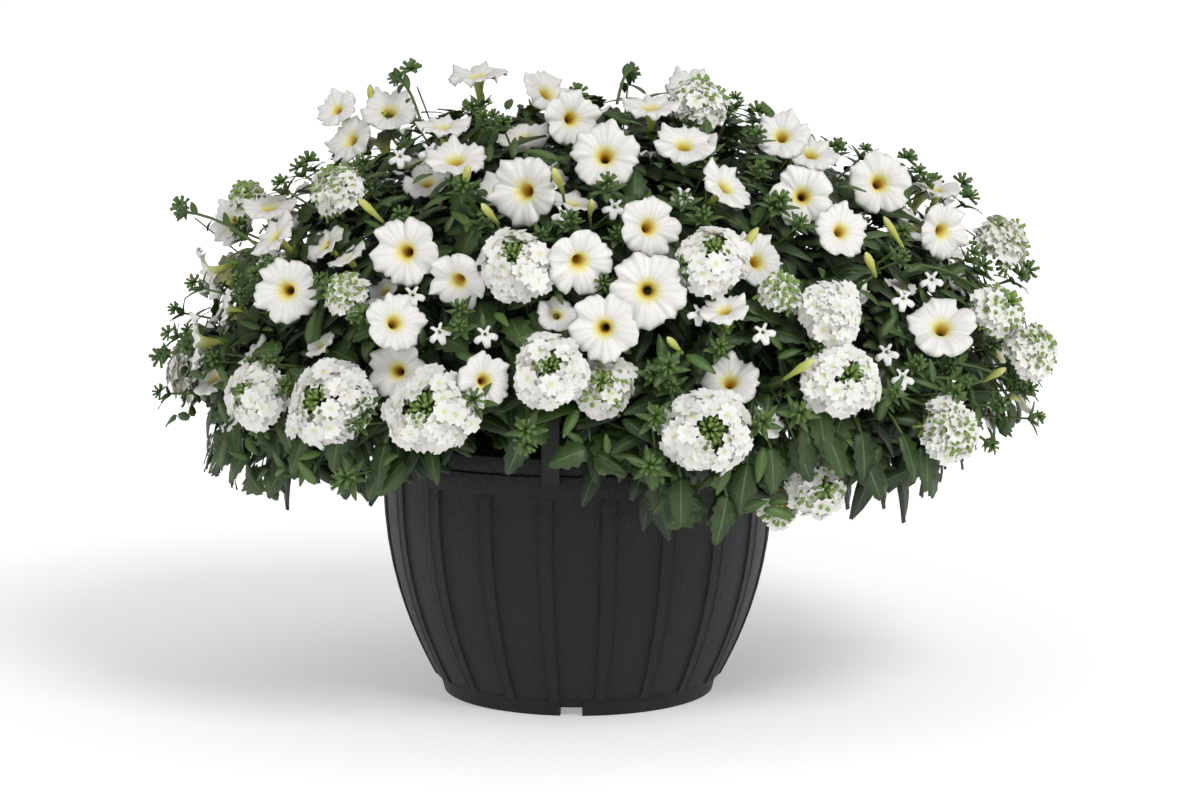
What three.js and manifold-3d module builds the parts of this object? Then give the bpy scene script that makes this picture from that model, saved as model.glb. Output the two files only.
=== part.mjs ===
// Planted basket on its own base: a 305 mm fluted pot filled with soil, four rim clips,
// and a dome of white petunias, verbena heads, lobelia sprigs and leafy shoots.
// Millimetres, +Z up, origin on the pot's axis at the ground, front towards -Y.
import * as THREE from "three";
import { mergeVertices } from "three/addons/utils/BufferGeometryUtils.js";
import Module from "manifold-3d";

const wasm = await Module();
wasm.setup();
const { Manifold } = wasm;

// ---- Real sizes, all in millimetres ----
const GAP = 0.3; // clearance between neighbouring pieces
const POT_HEIGHT = 203;
const STAVES = 20; // raised strips round the barrel
const STRIP_DEG = 4.2; // width of a raised strip
const PANEL_SINK = 1.0; // how far a panel's edge lies behind its strips
const BARREL_TOP = 174;
const BARREL_R = 151.6; // radius over the strips at the top of the barrel
const BAND_R = 153.0; // lower, proud band of the rim
const LIP_R = 151.8; // upper band of the rim
const BAND_SPLIT = 190;
const FOOT_TOP = 13;
const FOOT_R_TOP = 109;
const FOOT_R_LOW = 105.5;
const FOOT_IN_R = 99;
const FLOOR_LOW = 5;
const FLOOR_TOP = 9;
const WALL = 3.2; // wall behind a strip
const NOTCH_WIDE = 17;
const NOTCH_HIGH = 7.5;
const NOTCH_DEG = -2.6; // turn of the first drain notch from the front
const CLIP_WIDE = 13.5;
const CLIP_DEG = -7; // turn of the first clip from the front
const SOIL_EDGE_Z = 178;
const SOIL_MID_Z = 190;
const ROOT_REACH = 112; // stems stand within this radius of the soil's middle
const HOLE_DEEP = 14;

// The dome of foliage: an ellipsoid about this centre, with these half widths.
const DOME = { cx: 20, cz: 225, ax: 340, ay: 255, az: 245 };
// Where the photograph was taken from, and the plane through the pot's axis it is read on.
const EYE = new THREE.Vector3(17, -2317, 543);

const V = (x, y, z) => new THREE.Vector3(x, y, z);
const rad = THREE.MathUtils.degToRad;
const UP = V(0, 0, 1);

// Repeatable spread in 0..1 from a whole number and a channel.
function draw(i, channel) {
  const s = Math.sin(i * 12.9898 + channel * 78.233) * 43758.5453;
  return s - Math.floor(s);
}

// ---- Solids ----
function solidFrom(points, faces) {
  const mesh = new wasm.Mesh({
    numProp: 3,
    vertProperties: new Float32Array(points.flatMap((p) => [p.x, p.y, p.z])),
    triVerts: new Uint32Array(faces.flat()),
  });
  return new Manifold(mesh);
}

function solidOf(geometry) {
  const g = geometry.clone();
  g.deleteAttribute("normal");
  g.deleteAttribute("uv");
  const m = mergeVertices(g, 1e-4);
  return new Manifold(
    new wasm.Mesh({
      numProp: 3,
      vertProperties: m.attributes.position.array,
      triVerts: new Uint32Array(m.index.array),
    }),
  );
}

// A turned body of `sides` facets whose corners stand at `turn` degrees; profile runs bottom to top.
function turned(profile, sides, turn) {
  const points = profile.map(([r, z]) => new THREE.Vector2(r, z));
  const g = new THREE.LatheGeometry(points, sides, rad(turn));
  g.rotateX(Math.PI / 2); // the lathe's own axis is Y
  return solidOf(g);
}

function barrelRadius(z) {
  return BARREL_R + 1.4 - 48 * Math.pow(Math.max(0, 1 - z / BARREL_TOP), 2.2) - 1.4 * (z / BARREL_TOP);
}

// Rings of points stacked from bottom to top, capped at both ends.
function stacked(rings) {
  const n = rings[0].length;
  const points = rings.flat();
  const faces = [];
  for (let k = 0; k + 1 < rings.length; k++)
    for (let i = 0; i < n; i++) {
      const a = k * n + i,
        b = k * n + ((i + 1) % n);
      faces.push([a, b, b + n], [a, b + n, a + n]);
    }
  const low = points.length,
    high = low + 1,
    top = (rings.length - 1) * n;
  const middle = (ring) => ring.reduce((s, p) => s.add(p), V(0, 0, 0)).divideScalar(n);
  points.push(middle(rings[0]), middle(rings[rings.length - 1]));
  for (let i = 0; i < n; i++) {
    const j = (i + 1) % n;
    faces.push([low, j, i], [high, top + i, top + j]);
  }
  return solidFrom(points, faces);
}

function polar(deg, r, z) {
  // 0 degrees is the front (-Y), positive towards +X
  return V(r * Math.sin(rad(deg)), -r * Math.cos(rad(deg)), z);
}

function flutedBarrel() {
  const rows = [10, 58, 176];
  return stacked(
    rows.map((z) => {
      const r = barrelRadius(Math.min(z, BARREL_TOP));
      const ring = [];
      for (let s = 0; s < STAVES; s++) {
        const mid = (360 / STAVES) * (s + 0.5),
          half = STRIP_DEG / 2;
        ring.push(polar(mid - half, r, z), polar(mid + half, r, z));
        ring.push(polar(mid + half + 0.5, r - PANEL_SINK, z));
        ring.push(polar(mid + 360 / STAVES - half - 0.5, r - PANEL_SINK, z));
      }
      return ring;
    }),
  );
}

function innerProfile(clear) {
  // inside of the pot from floor to mouth, `clear` mm further in
  return [FLOOR_TOP, 58, BARREL_TOP].map((z) => [
    barrelRadius(z) - WALL - clear - (z === FLOOR_TOP ? 3 : 0),
    z,
  ]);
}

const CORNER = 360 / STAVES / 2; // inner facets meet behind the strips

function makePot() {
  const foot = turned(
    [[0, 0], [FOOT_R_LOW, 0], [FOOT_R_TOP, FOOT_TOP], [0, FOOT_TOP]], 40, CORNER,
  );
  const band = turned(
    [
      [0, BARREL_TOP - 0.6],
      [BAND_R, BARREL_TOP + 0.6],
      [BAND_R, BAND_SPLIT - 0.4],
      [LIP_R, BAND_SPLIT + 0.6],
      [LIP_R, POT_HEIGHT],
      [0, POT_HEIGHT],
    ],
    40,
    CORNER,
  );
  const inside = innerProfile(0);
  const mouth = inside[inside.length - 1][0];
  const hollow = turned([[0, FLOOR_TOP], ...inside, [mouth, POT_HEIGHT + 5], [0, POT_HEIGHT + 5]], STAVES, CORNER);
  const recess = turned([[0, -5], [FOOT_IN_R, -5], [FOOT_IN_R - 2, FLOOR_LOW], [0, FLOOR_LOW]], STAVES, CORNER);
  let pot = Manifold.union([foot, flutedBarrel(), band]).subtract(hollow).subtract(recess);
  for (let k = 0; k < 4; k++) {
    pot = pot.subtract(footNotch(NOTCH_DEG + 90 * k));
    const hole = Manifold.cylinder(20, 7, 7, 5).translate([60, 0, 0]).rotate([0, 0, 45 + 90 * k]);
    pot = pot.subtract(hole);
  }
  return pot;
}

function footNotch(deg) {
  const w = NOTCH_WIDE / 2;
  const shape = new THREE.Shape([
    new THREE.Vector2(-w - 1, -5),
    new THREE.Vector2(w + 1, -5),
    new THREE.Vector2(w - 1.5, NOTCH_HIGH),
    new THREE.Vector2(-w + 1.5, NOTCH_HIGH),
  ]);
  const g = new THREE.ExtrudeGeometry(shape, { depth: 30, bevelEnabled: false });
  g.rotateX(Math.PI / 2); // drawn upright, cut through towards the front
  g.translate(0, -90, 0);
  g.rotateZ(rad(deg));
  return solidOf(g);
}

function makeSoil(holes) {
  const wall = innerProfile(GAP + 0.05).filter(([, z]) => z < SOIL_EDGE_Z);
  const edge = wall[wall.length - 1][0];
  wall[0][1] += GAP;
  const body = turned(
    [[0, FLOOR_TOP + GAP], ...wall, [edge, SOIL_EDGE_Z], [edge - 60, SOIL_MID_Z - 4], [0, SOIL_MID_Z]],
    STAVES,
    CORNER,
  );
  return holes.length ? body.subtract(Manifold.union(holes)) : body;
}

// Plain strap with a hook over the rim, its leg outside the band; drawn as radius and height.
function makeClip(deg) {
  const leg = BAND_R + 0.5,
    face = BAND_R + 3.4,
    hook = POT_HEIGHT + 0.4;
  const outline = [
    [leg, 184], [face, 184], [face, 236], [leg, 236], [leg, hook + 3],
    [142.4, hook + 3], [142.4, 193], [145, 193], [145, hook], [leg, hook],
  ];
  const shape = new THREE.Shape(outline.map(([r, z]) => new THREE.Vector2(r, z)));
  const g = new THREE.ExtrudeGeometry(shape, { depth: CLIP_WIDE, bevelEnabled: false });
  g.translate(0, 0, -CLIP_WIDE / 2);
  g.rotateX(Math.PI / 2); // outline upright, width along Y
  g.rotateZ(rad(deg - 90));
  return solidOf(g);
}

// ---- Flowers and leaves, each drawn about its own base and turned into place ----
// A flower is { points, faces, loop, foot }: open behind along `loop`, where its stem joins on,
// and closed to the point `foot` while it has no stem yet. Drawn facing +Z.

// Petunia: five broad lobes, each two corners and a notch, on a five-ribbed tube.
function petunia(across) {
  const r = across / 2,
    long = across * 0.7,
    points = [],
    faces = [];
  const ring = (radius, z, n, notch = 1, lift = 0) => {
    for (let i = 0; i < n; i++) {
      const a = rad((360 / n) * i),
        cut = n === 15 && i % 3 === 0;
      const k = radius * (cut ? notch : 1);
      points.push(V(k * Math.cos(a), k * Math.sin(a), z + (cut ? lift : 0)));
    }
  };
  ring(r * 0.24, -long * 0.28, 5); // 0..4 outside of the tube's mouth
  ring(r, 0, 15, 0.87, -1.5); // 5..19 rim, its notches in line with the tube's ribs
  ring(r * 0.2, -long * 0.16, 5); // 20..24 inside of the throat
  points.push(V(0, 0, -long * 0.5));
  for (let i = 0; i < 5; i++) {
    const j = (i + 1) % 5,
      q = 20 + i,
      q2 = 20 + j,
      e = [5 + 3 * i, 6 + 3 * i, 7 + 3 * i, 5 + 3 * j];
    faces.push([i, j, e[2]], [i, e[2], e[1]], [i, e[1], e[0]], [j, e[3], e[2]]);
    faces.push([q, e[2], q2], [q, e[1], e[2]], [q, e[0], e[1]], [q2, e[2], e[3]], [25, q, q2]);
  }
  return { points, faces, loop: [0, 1, 2, 3, 4], foot: V(0, 0, -long) };
}

// Verbena head: eleven five-petalled florets on the corners of an icosahedron, open at the twelfth.
function verbenaHead(across) {
  const R = across / 2,
    g = new THREE.IcosahedronGeometry(1);
  g.deleteAttribute("normal");
  g.deleteAttribute("uv");
  const ball = mergeVertices(g, 1e-3),
    at = ball.attributes.position,
    corner = [];
  for (let i = 0; i < at.count; i++) corner.push(V(at.getX(i), at.getY(i), at.getZ(i)).normalize());
  const turn = new THREE.Quaternion().setFromUnitVectors(corner[0].clone(), V(0, 0, -1));
  corner.forEach((c) => c.applyQuaternion(turn));
  const tris = [];
  for (let i = 0; i < ball.index.count; i += 3) tris.push([0, 1, 2].map((k) => ball.index.getX(i + k)));
  const points = corner.map((c) => c.clone().multiplyScalar(R * 0.88));
  const cleft = tris.map((t) => {
    const m = t.reduce((s, k) => s.add(corner[k]), V(0, 0, 0)).normalize();
    return points.push(m.multiplyScalar(R * 0.74)) - 1;
  });
  const tips = new Map();
  const tip = (a, b) => {
    const key = a + "_" + b;
    if (!tips.has(key)) {
      const p = corner[a].clone().lerp(corner[b], 0.43).normalize();
      tips.set(key, points.push(p.multiplyScalar(R * (1 - 0.05 * draw(a, b)))) - 1);
    }
    return tips.get(key);
  };
  const faces = [],
    loop = [];
  tris.forEach((t, f) => {
    for (let k = 0; k < 3; k++) {
      const a = t[k],
        b = t[(k + 1) % 3],
        c = t[(k + 2) % 3];
      if (a === 0) {
        loop.push(cleft[f]);
        continue;
      }
      faces.push([a, tip(a, b), cleft[f]], [a, cleft[f], tip(a, c)]); // half petals
      const over = tris.findIndex((u, i) => i !== f && u.includes(a) && u.includes(b));
      faces.push([tip(a, b), cleft[over], cleft[f]]); // fall of the petal's tip
    }
  });
  const angle = (k) => Math.atan2(points[k].y, points[k].x);
  loop.sort((k, m) => angle(k) - angle(m));
  return tidy({ points, faces, loop, foot: V(0, 0, -R * 0.9) });
}

// Drops the points that no face uses.
function tidy(f) {
  const used = [...new Set(f.faces.flat())].sort((a, b) => a - b),
    now = new Map(used.map((k, i) => [k, i]));
  return {
    points: used.map((k) => f.points[k]),
    faces: f.faces.map((t) => t.map((k) => now.get(k))),
    loop: f.loop.map((k) => now.get(k)),
    foot: f.foot,
  };
}

// A leaf as a thin blade along +X with its upper face +Z, drooping a little, open at its base;
// a toothed one has a lobed margin, otherwise it is a plain lance shape.
function leaf(long, wide, toothed) {
  const side = toothed
    ? [[0.3, 0.46], [0.46, 0.26], [0.68, 0.4]]
    : [[0.3, 0.42], [0.66, 0.46]];
  const drop = (t) => -long * 0.22 * t * t;
  const points = side.map(([t, w]) => V(long * t, -wide * w, drop(t) + wide * 0.1 * w));
  points.push(V(long, 0, drop(1)));
  [...side].reverse().forEach(([t, w]) => points.push(V(long * t, wide * w, drop(t) + wide * 0.1 * w)));
  const n = points.length,
    faces = [];
  points.push(V(long * 0.42, 0, drop(0.42) + 0.9), V(long * 0.42, 0, drop(0.42) - 0.9));
  for (let i = 0; i + 1 < n; i++) faces.push([n, i, i + 1], [n + 1, i + 1, i]);
  return { points, faces, loop: [n - 1, n, 0, n + 1], foot: V(0, 0, 0) };
}

// A star-shaped top over an open rim: buds in a tight cluster, or a lobelia's two lips.
function star(rim, top, foot) {
  const n = rim.length,
    points = [...rim, top],
    faces = rim.map((p, i) => [n, i, (i + 1) % n]);
  return { points, faces, loop: rim.map((p, i) => i), foot };
}

function budCluster(across) {
  const r = across / 2,
    rim = [];
  for (let i = 0; i < 10; i++) {
    const a = rad(36 * i),
      k = i % 2 ? 0.6 : 1;
    rim.push(V(r * k * Math.cos(a), r * k * Math.sin(a), i % 2 ? -r * 0.25 : r * 0.35));
  }
  return star(rim, V(0, 0, r * 0.7), V(0, 0, -r));
}

// Three broad lower petals and two narrow upper ones.
function lobelia(across) {
  const r = across / 2,
    rim = [];
  const lobes = [[-90, 1, 16], [-30, 0.95, 16], [50, 0.62, 9], [130, 0.62, 9], [210, 0.95, 16]];
  lobes.forEach(([deg, k, half], i) => {
    const next = lobes[(i + 1) % 5][0] + (i === 4 ? 360 : 0),
      m = rad((deg + next) / 2);
    for (const d of [deg - half, deg + half]) rim.push(V(r * k * Math.cos(rad(d)), r * k * Math.sin(rad(d)), 0));
    rim.push(V(r * 0.3 * Math.cos(m), r * 0.3 * Math.sin(m), 0));
  });
  return star(rim, V(0, 0, r * 0.12), V(0, 0, -r * 0.9));
}

// ---- Placing ----
// Turns a flower drawn about +Z to face `n` and moves it to `at`.
function place(flower, at, n, spin = 0) {
  const q = new THREE.Quaternion().setFromUnitVectors(UP, n.clone().normalize());
  q.multiply(new THREE.Quaternion().setFromAxisAngle(UP, rad(spin)));
  const m = new THREE.Matrix4().compose(at, q, V(1, 1, 1));
  return {
    ...flower,
    points: flower.points.map((p) => p.clone().applyMatrix4(m)),
    foot: flower.foot.clone().applyMatrix4(m),
    dir: n.clone().normalize(),
  };
}

function closed(flower) {
  const { points, faces, loop, foot } = flower,
    n = points.length;
  const back = loop.map((k, i) => [n, loop[(i + 1) % loop.length], k]);
  return solidFrom([...points, foot], [...faces, ...back]);
}

// Turns a leaf drawn along +X to run along `dir` with its face as near `face` as it goes.
function placeLeaf(blade, at, dir, face) {
  const x = dir.clone().normalize(),
    z = face.clone().addScaledVector(x, -face.dot(x)).normalize(),
    y = z.clone().cross(x);
  const m = new THREE.Matrix4().makeBasis(x, y, z).setPosition(at);
  return { ...blade, points: blade.points.map((p) => p.clone().applyMatrix4(m)), foot: at.clone(), dir: x };
}

function facing(az, el) {
  const a = rad(az),
    e = rad(el);
  return V(Math.sin(a) * Math.cos(e), -Math.cos(a) * Math.cos(e), Math.sin(e));
}

// The point of the dome seen through (u, w) of the plane at y = 0, `sink` mm behind its face.
function onDome(u, w, sink = 0) {
  const d = V(u, 0, w).sub(EYE);
  const s = V(1 / DOME.ax, 1 / DOME.ay, 1 / DOME.az);
  const o = V(EYE.x - DOME.cx, EYE.y, EYE.z - DOME.cz).multiply(s),
    k = d.clone().multiply(s);
  const a = k.dot(k),
    b = o.dot(k),
    c = o.dot(o) - 1,
    disc = b * b - a * c;
  const t = disc > 0 ? (-b - Math.sqrt(disc)) / a : -b / a;
  return EYE.clone().addScaledVector(d, t + sink / d.length());
}

// Point of the dome by bearing (0 front, positive right) and height angle, `k` of the way out.
function byAngle(az, el, k = 1) {
  const d = facing(az, el);
  return V(DOME.cx + DOME.ax * d.x * k, DOME.ay * d.y * k, DOME.cz + DOME.az * d.z * k);
}

// A growing closed surface: points, faces, and loops of it still to be joined on to.
class Body {
  constructor() {
    this.points = [];
    this.faces = [];
  }
  add(points, faces = []) {
    const shift = this.points.length;
    this.points.push(...points);
    this.faces.push(...faces.map((t) => t.map((k) => k + shift)));
    return shift;
  }
  // Rings of three points round a path, walled in; returns them from first to last.
  stem(path, r0, r1, endDir) {
    const last = path.length - 1;
    const rings = path.map((p, i) => {
      const ahead = path[Math.min(i + 1, last)].clone().sub(path[Math.max(i - 1, 0)]).normalize();
      if (endDir && i === last) ahead.addScaledVector(endDir, 2).normalize();
      const side = (Math.abs(ahead.z) > 0.95 ? V(1, 0, 0) : UP.clone()).cross(ahead).normalize(),
        other = ahead.clone().cross(side),
        r = r0 + ((r1 - r0) * i) / last;
      const ring = [0, 120, 240].map((d) =>
        p.clone().addScaledVector(side, r * Math.cos(rad(d))).addScaledVector(other, r * Math.sin(rad(d))),
      );
      const k = this.add(ring);
      return [k, k + 1, k + 2];
    });
    for (let k = 0; k < last; k++)
      for (let i = 0; i < 3; i++) {
        const j = (i + 1) % 3;
        this.faces.push([rings[k][i], rings[k][j], rings[k + 1][j]], [rings[k][i], rings[k + 1][j], rings[k + 1][i]]);
      }
    return rings;
  }
  flower(ring, piece, before) {
    const shift = this.add(piece.points, piece.faces);
    this.faces.push(...bridge(this.points, ring, piece.loop.map((k) => k + shift), piece.foot, before));
  }
  solid() {
    return solidFrom(this.points, this.faces);
  }
  // The solid, or nothing if a face from number `first` on cuts through another.
  whole(first = 0) {
    const fresh = this.faces.slice(first);
    return fresh.some((t) => this.faces.some((u) => this.cuts(t, u) || this.cuts(u, t))) ? undefined : this.solid();
  }
  // True if an edge of face t passes through face u, for faces that share no corner.
  cuts(t, u) {
    if (t.some((k) => u.includes(k))) return false;
    const [a, b, c] = u.map((k) => this.points[k]),
      corners = t.map((k) => this.points[k]);
    for (const k of ["x", "y", "z"]) {
      const p = corners.map((q) => q[k]),
        q = [a[k], b[k], c[k]];
      if (Math.max(...p) < Math.min(...q) || Math.max(...q) < Math.min(...p)) return false;
    }
    return corners.some((p, i) => {
      const dir = corners[(i + 1) % 3].clone().sub(p),
        hit = new THREE.Ray(p, dir.clone().normalize()).intersectTriangle(a, b, c, false, V(0, 0, 0));
      return hit && hit.distanceTo(p) < dir.length();
    });
  }
}

// A three-sided stem through `path`; its far end closes, or runs out into a flower's open loop.
function tube(path, r0, r1, flower) {
  const body = new Body();
  const rings = body.stem(path, r0, r1, flower && flower.dir),
    last = rings[rings.length - 1];
  body.faces.push([...rings[0]].reverse());
  if (flower) body.flower(last, flower, path[path.length - 2]);
  else body.faces.push(last);
  return flower ? body.whole() : body.solid();
}

// A forked spray: the main stem ends in a small eight-faced knot, and each side stem leaves by a face of it.
function forked(main, ways) {
  const body = new Body(),
    rings = body.stem(main, 2, 1.4),
    last = rings[rings.length - 1],
    before = main[main.length - 2],
    end = main[main.length - 1];
  body.faces.push([...rings[0]].reverse());
  const ahead = end.clone().sub(before).normalize(),
    middle = end.clone().addScaledVector(ahead, KNOT);
  const turn = new THREE.Quaternion().setFromUnitVectors(V(-1, -1, -1).normalize(), ahead.clone().negate());
  const knot = [V(1, 0, 0), V(-1, 0, 0), V(0, 1, 0), V(0, -1, 0), V(0, 0, 1), V(0, 0, -1)];
  const k = body.add(knot.map((p) => p.multiplyScalar(KNOT).applyQuaternion(turn).add(middle)));
  let free = [];
  for (const x of [0, 1])
    for (const y of [2, 3])
      for (const z of [4, 5]) free.push((x + y + z) % 2 === 0 ? [k + x, k + y, k + z] : [k + x, k + z, k + y]);
  const out = (t) => t.reduce((s, i) => s.add(body.points[i]), V(0, 0, 0)).divideScalar(3).sub(middle).normalize();
  const take = (dir) => {
    const t = free.reduce((best, u) => (out(u).dot(dir) > out(best).dot(dir) ? u : best));
    free = free.filter((u) => u !== t);
    return t;
  };
  const back = take(ahead.clone().negate());
  body.faces.push(...bridge(body.points, last, [back[0], back[2], back[1]], end, before));
  ways.forEach(({ way, flower }) => {
    const dir = way[1].clone().sub(middle).normalize(),
      face = take(dir),
      path = [way[0].clone().addScaledVector(out(face), KNOT * 1.6), ...way.slice(1)];
    const side = body.stem(path, 1.2, 1, flower.dir);
    body.faces.push(...bridge(body.points, face, side[0], path[0], middle));
    body.flower(side[side.length - 1], flower, path[path.length - 2]);
  });
  body.faces.push(...free);
  return body.whole();
}

// Faces between two loops of unlike count that run the same way round one axis.
function bridge(points, a, b, end, before) {
  const axis = end.clone().sub(before).normalize(),
    x = points[a[0]].clone().sub(end).normalize(),
    y = axis.clone().cross(x);
  const middle = b.reduce((s, k) => s.add(points[k]), V(0, 0, 0)).divideScalar(b.length);
  const facingX = b.map((k) => points[k].clone().sub(middle).normalize()).map((d) => d.dot(x) + 0.01 * d.dot(y));
  const start = facingX.indexOf(Math.max(...facingX)),
    B = b.map((_, j) => b[(j + start) % b.length]);
  const faces = [];
  for (let i = 0, j = 0; i < a.length || j < B.length; ) {
    const p = a[i % a.length],
      q = B[j % B.length];
    if (j >= B.length || (i < a.length && (i + 1) / a.length < (j + 1) / B.length)) {
      faces.push([p, a[(i + 1) % a.length], q]);
      i++;
    } else {
      faces.push([p, B[(j + 1) % B.length], q]);
      j++;
    }
  }
  return faces;
}

function bezier(a, b, c, d, steps) {
  const out = [];
  for (let i = 0; i <= steps; i++) {
    const t = i / steps,
      s = 1 - t;
    out.push(
      a.clone().multiplyScalar(s * s * s)
        .addScaledVector(b, 3 * s * s * t)
        .addScaledVector(c, 3 * s * t * t)
        .addScaledVector(d, t * t * t),
    );
  }
  return out;
}

// ---- What grows where ----
// Each flower: [u, w, turn right, tilt up, across, sink]; u and w are its place in the upright
// plane through the pot's axis, seen from EYE, and sink moves it back along that line of sight.
const PETUNIAS = [
  [-226, 311, -10, 5, 48, 0], [-134, 341, -12, 5, 50, 0], [-94, 317, -20, -15, 43, 0],
  [2, 332, 15, -12, 48, 0], [54, 311, 0, 5, 55, 0], [20, 282, -5, 5, 49, 0],
  [56, 361, 20, 15, 45, 0], [-43, 388, -25, 5, 52, 0], [21, 416, 0, 20, 50, 0],
  [-4, 444, 20, 10, 43, 0], [-22, 465, 40, 40, 43, 0], [-77, 479, -20, 75, 46, 0],
  [-94, 415, 0, 60, 46, 0], [56, 455, 0, 72, 43, 0], [82, 426, 10, 55, 45, 0],
  [116, 393, 50, 40, 43, 0], [157, 432, 0, 35, 42, 0], [180, 419, 20, 55, 41, 0],
  [173, 384, 0, 8, 46, 0], [233, 395, 10, 15, 48, 0], [204, 358, 20, 20, 41, 0],
  [283, 357, 30, 0, 43, 0], [282, 284, 0, 35, 50, 0], [140, 335, 30, 25, 43, 0],
  [118, 242, 0, 40, 43, 0], [-141, 287, 20, 20, 43, 0], [-141, 248, -12, 8, 43, 0],
  [-72, 241, 20, 10, 39, 0], [-268, 365, -35, 20, 41, 0], [-236, 355, -60, 40, 41, 0],
  [-238, 378, -10, 70, 42, 0], [-288, 323, -75, -20, 43, 0], [-274, 298, -80, 10, 28, 0],
  [-298, 271, -85, 0, 43, 0], [-176, 429, -40, 30, 42, 0], [-145, 451, 0, 45, 43, 0],
  [-186, 452, -30, 35, 34, 0], [-103, 440, 0, 75, 41, 0], [276, 392, 20, 75, 39, 0],
  [86, 470, 0, 50, 38, 0], [113, 298, -20, 60, 35, 0],
];
// Each verbena head: [u, w, across, sink].
const HEADS = [
  [-185, 389, 43, 0], [-48, 331, 55, 0], [103, 335, 52, 0], [93, 455, 46, 0], [196, 293, 49, 0],
  [205, 241, 55, 0], [327, 348, 46, -20], [325, 295, 43, -30], [352, 264, 41, -65], [289, 202, 45, 0],
  [100, 201, 62, 0], [185, 158, 45, 40], [-21, 248, 52, 0], [19, 237, 45, 0], [-114, 217, 63, 0],
  [-193, 223, 63, 0], [-250, 229, 49, 0], [-179, 309, 31, 0], [155, 142, 30, 50],
  [157, 311, 28, 0], [-255, 383, 28, 0],
];
// Each lobelia flower: [u, w].
const LOBELIAS = [
  [-11, 370], [28, 376], [81, 385], [-128, 308], [-108, 279], [-72, 277], [-137, 415], [-114, 419],
  [143, 279], [239, 263], [252, 305], [273, 320], [252, 244], [94, 294],
];
// Leafy shoots: [u, w, sink, leaf length, toothed leaves, bud cluster at the tip].
const SHOOTS = [
  [-212, 182, 20, 40, 1, 0], [-181, 165, 40, 34, 1, 1], [-41, 196, 10, 40, 1, 1],
  [10, 190, 24, 42, 0, 0], [58, 172, 30, 36, 1, 1], [114, 134, 50, 44, 1, 0],
  [160, 212, 0, 38, 1, 1], [222, 172, 30, 42, 1, 0], [266, 180, 36, 33, 1, 0],
  [-318, 260, 130, 26, 0, 1], [-300, 371, 60, 26, 0, 1], [40, 486, 0, 24, 0, 0],
  [-125, 473, 0, 28, 0, 1], [341, 323, 15, 28, 1, 1], [70, 253, 5, 40, 0, 1],
  [-85, 226, 20, 36, 1, 1], [150, 372, 15, 40, 0, 1], [290, 388, 20, 34, 0, 1],
];
const BACK_PETUNIAS = 17;
const BACK_HEADS = 5;
const BACK_SHOOTS = 3;
// Most sprays of each kind; flowers that grow close together share one.
const KNOT = 2.4; // half the size of the knot where a spray forks
const SPRAYS = { verbena: 7, petunia: 14, lobelia: 3 };
const SINKS = [0, 7, -7, 14, -14, 21, -21, 28, -28, 36, 44, 54, 66];

function backPlace(i, n, shift) {
  const turn = ((i + 1) * 0.618034 + shift) % 1,
    h = (i + 0.5) / n;
  return [180 + 172 * (turn - 0.5), (180 / Math.PI) * Math.asin(0.93 * h - 0.02)];
}

function flowerItems() {
  const items = [];
  HEADS.forEach(([u, w, across, sink], i) => {
    const at = (extra) => onDome(u, w, sink + extra);
    items.push({ kind: "verbena", across, at, n: outward(at(0)), spin: 360 * draw(i, 3) });
  });
  for (let i = 0; i < BACK_HEADS; i++) {
    const [az, el] = backPlace(i, BACK_HEADS, 0.31);
    const at = (extra) => byAngle(az + 0.5 * extra, el);
    items.push({ kind: "verbena", across: 56, at, n: outward(at(0)), spin: 360 * draw(i, 4) });
  }
  PETUNIAS.forEach(([u, w, az, el, across, sink], i) => {
    const at = (extra) => onDome(u, w, sink + extra);
    items.push({ kind: "petunia", across, at, n: facing(az, el), spin: 72 * draw(i, 5) });
  });
  for (let i = 0; i < BACK_PETUNIAS; i++) {
    const [az, el] = backPlace(i, BACK_PETUNIAS, 0);
    const at = (extra) => byAngle(az + 0.5 * extra, el);
    const n = outward(at(0)).addScaledVector(UP, 0.3 * (draw(i, 6) - 0.3)).normalize();
    items.push({ kind: "petunia", across: 46 + 6 * draw(i, 7), at, n, spin: 72 * draw(i, 8) });
  }
  LOBELIAS.forEach(([u, w], i) => {
    const at = (extra) => onDome(u, w, 4 + extra);
    const n = facing(40 * (draw(i, 9) - 0.5), 20 * draw(i, 10));
    items.push({ kind: "lobelia", across: 20, at, n, spin: 30 * (draw(i, 11) - 0.5) });
  });
  return items;
}

function outward(p) {
  return V((p.x - DOME.cx) / DOME.ax ** 2, p.y / DOME.ay ** 2, (p.z - DOME.cz + 40) / DOME.az ** 2).normalize();
}

const DRAWN = {
  petunia: (i) => petunia(i.across),
  verbena: (i) => verbenaHead(i.across),
  lobelia: (i) => lobelia(i.across),
};
function near(a, b, gap) {
  const p = a.boundingBox(),
    q = b.boundingBox();
  return [0, 1, 2].every((k) => p.min[k] - gap < q.max[k] && q.min[k] - gap < p.max[k]);
}

function clearOf(solid, others, gap = GAP) {
  return others.every((o) => !near(solid, o, gap) || solid.minGap(o, gap) >= gap * 0.99);
}

// Sets each flower at the first depth where it is clear of those already standing.
function setFlowers(items, fixed) {
  for (const item of items) {
    const base = DRAWN[item.kind](item);
    const rest = items.filter((o) => o.solid).flatMap((o) => [o.solid, o.guard]);
    for (const extra of SINKS) {
      const p = item.at(extra);
      item.p = p;
      item.flower = place(base, p, item.n, item.spin);
      item.base = item.flower.foot;
      item.solid = closed(item.flower);
      // a short piece of stem behind the flower, so that no other flower sits in its way
      item.guard = tube([-10, -1].map((k) => item.base.clone().addScaledVector(item.n, k)), 2, 2);
      if (clearOf(item.solid, [...fixed, ...rest]) && clearOf(item.guard, rest)) break;
    }
  }
}

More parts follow.
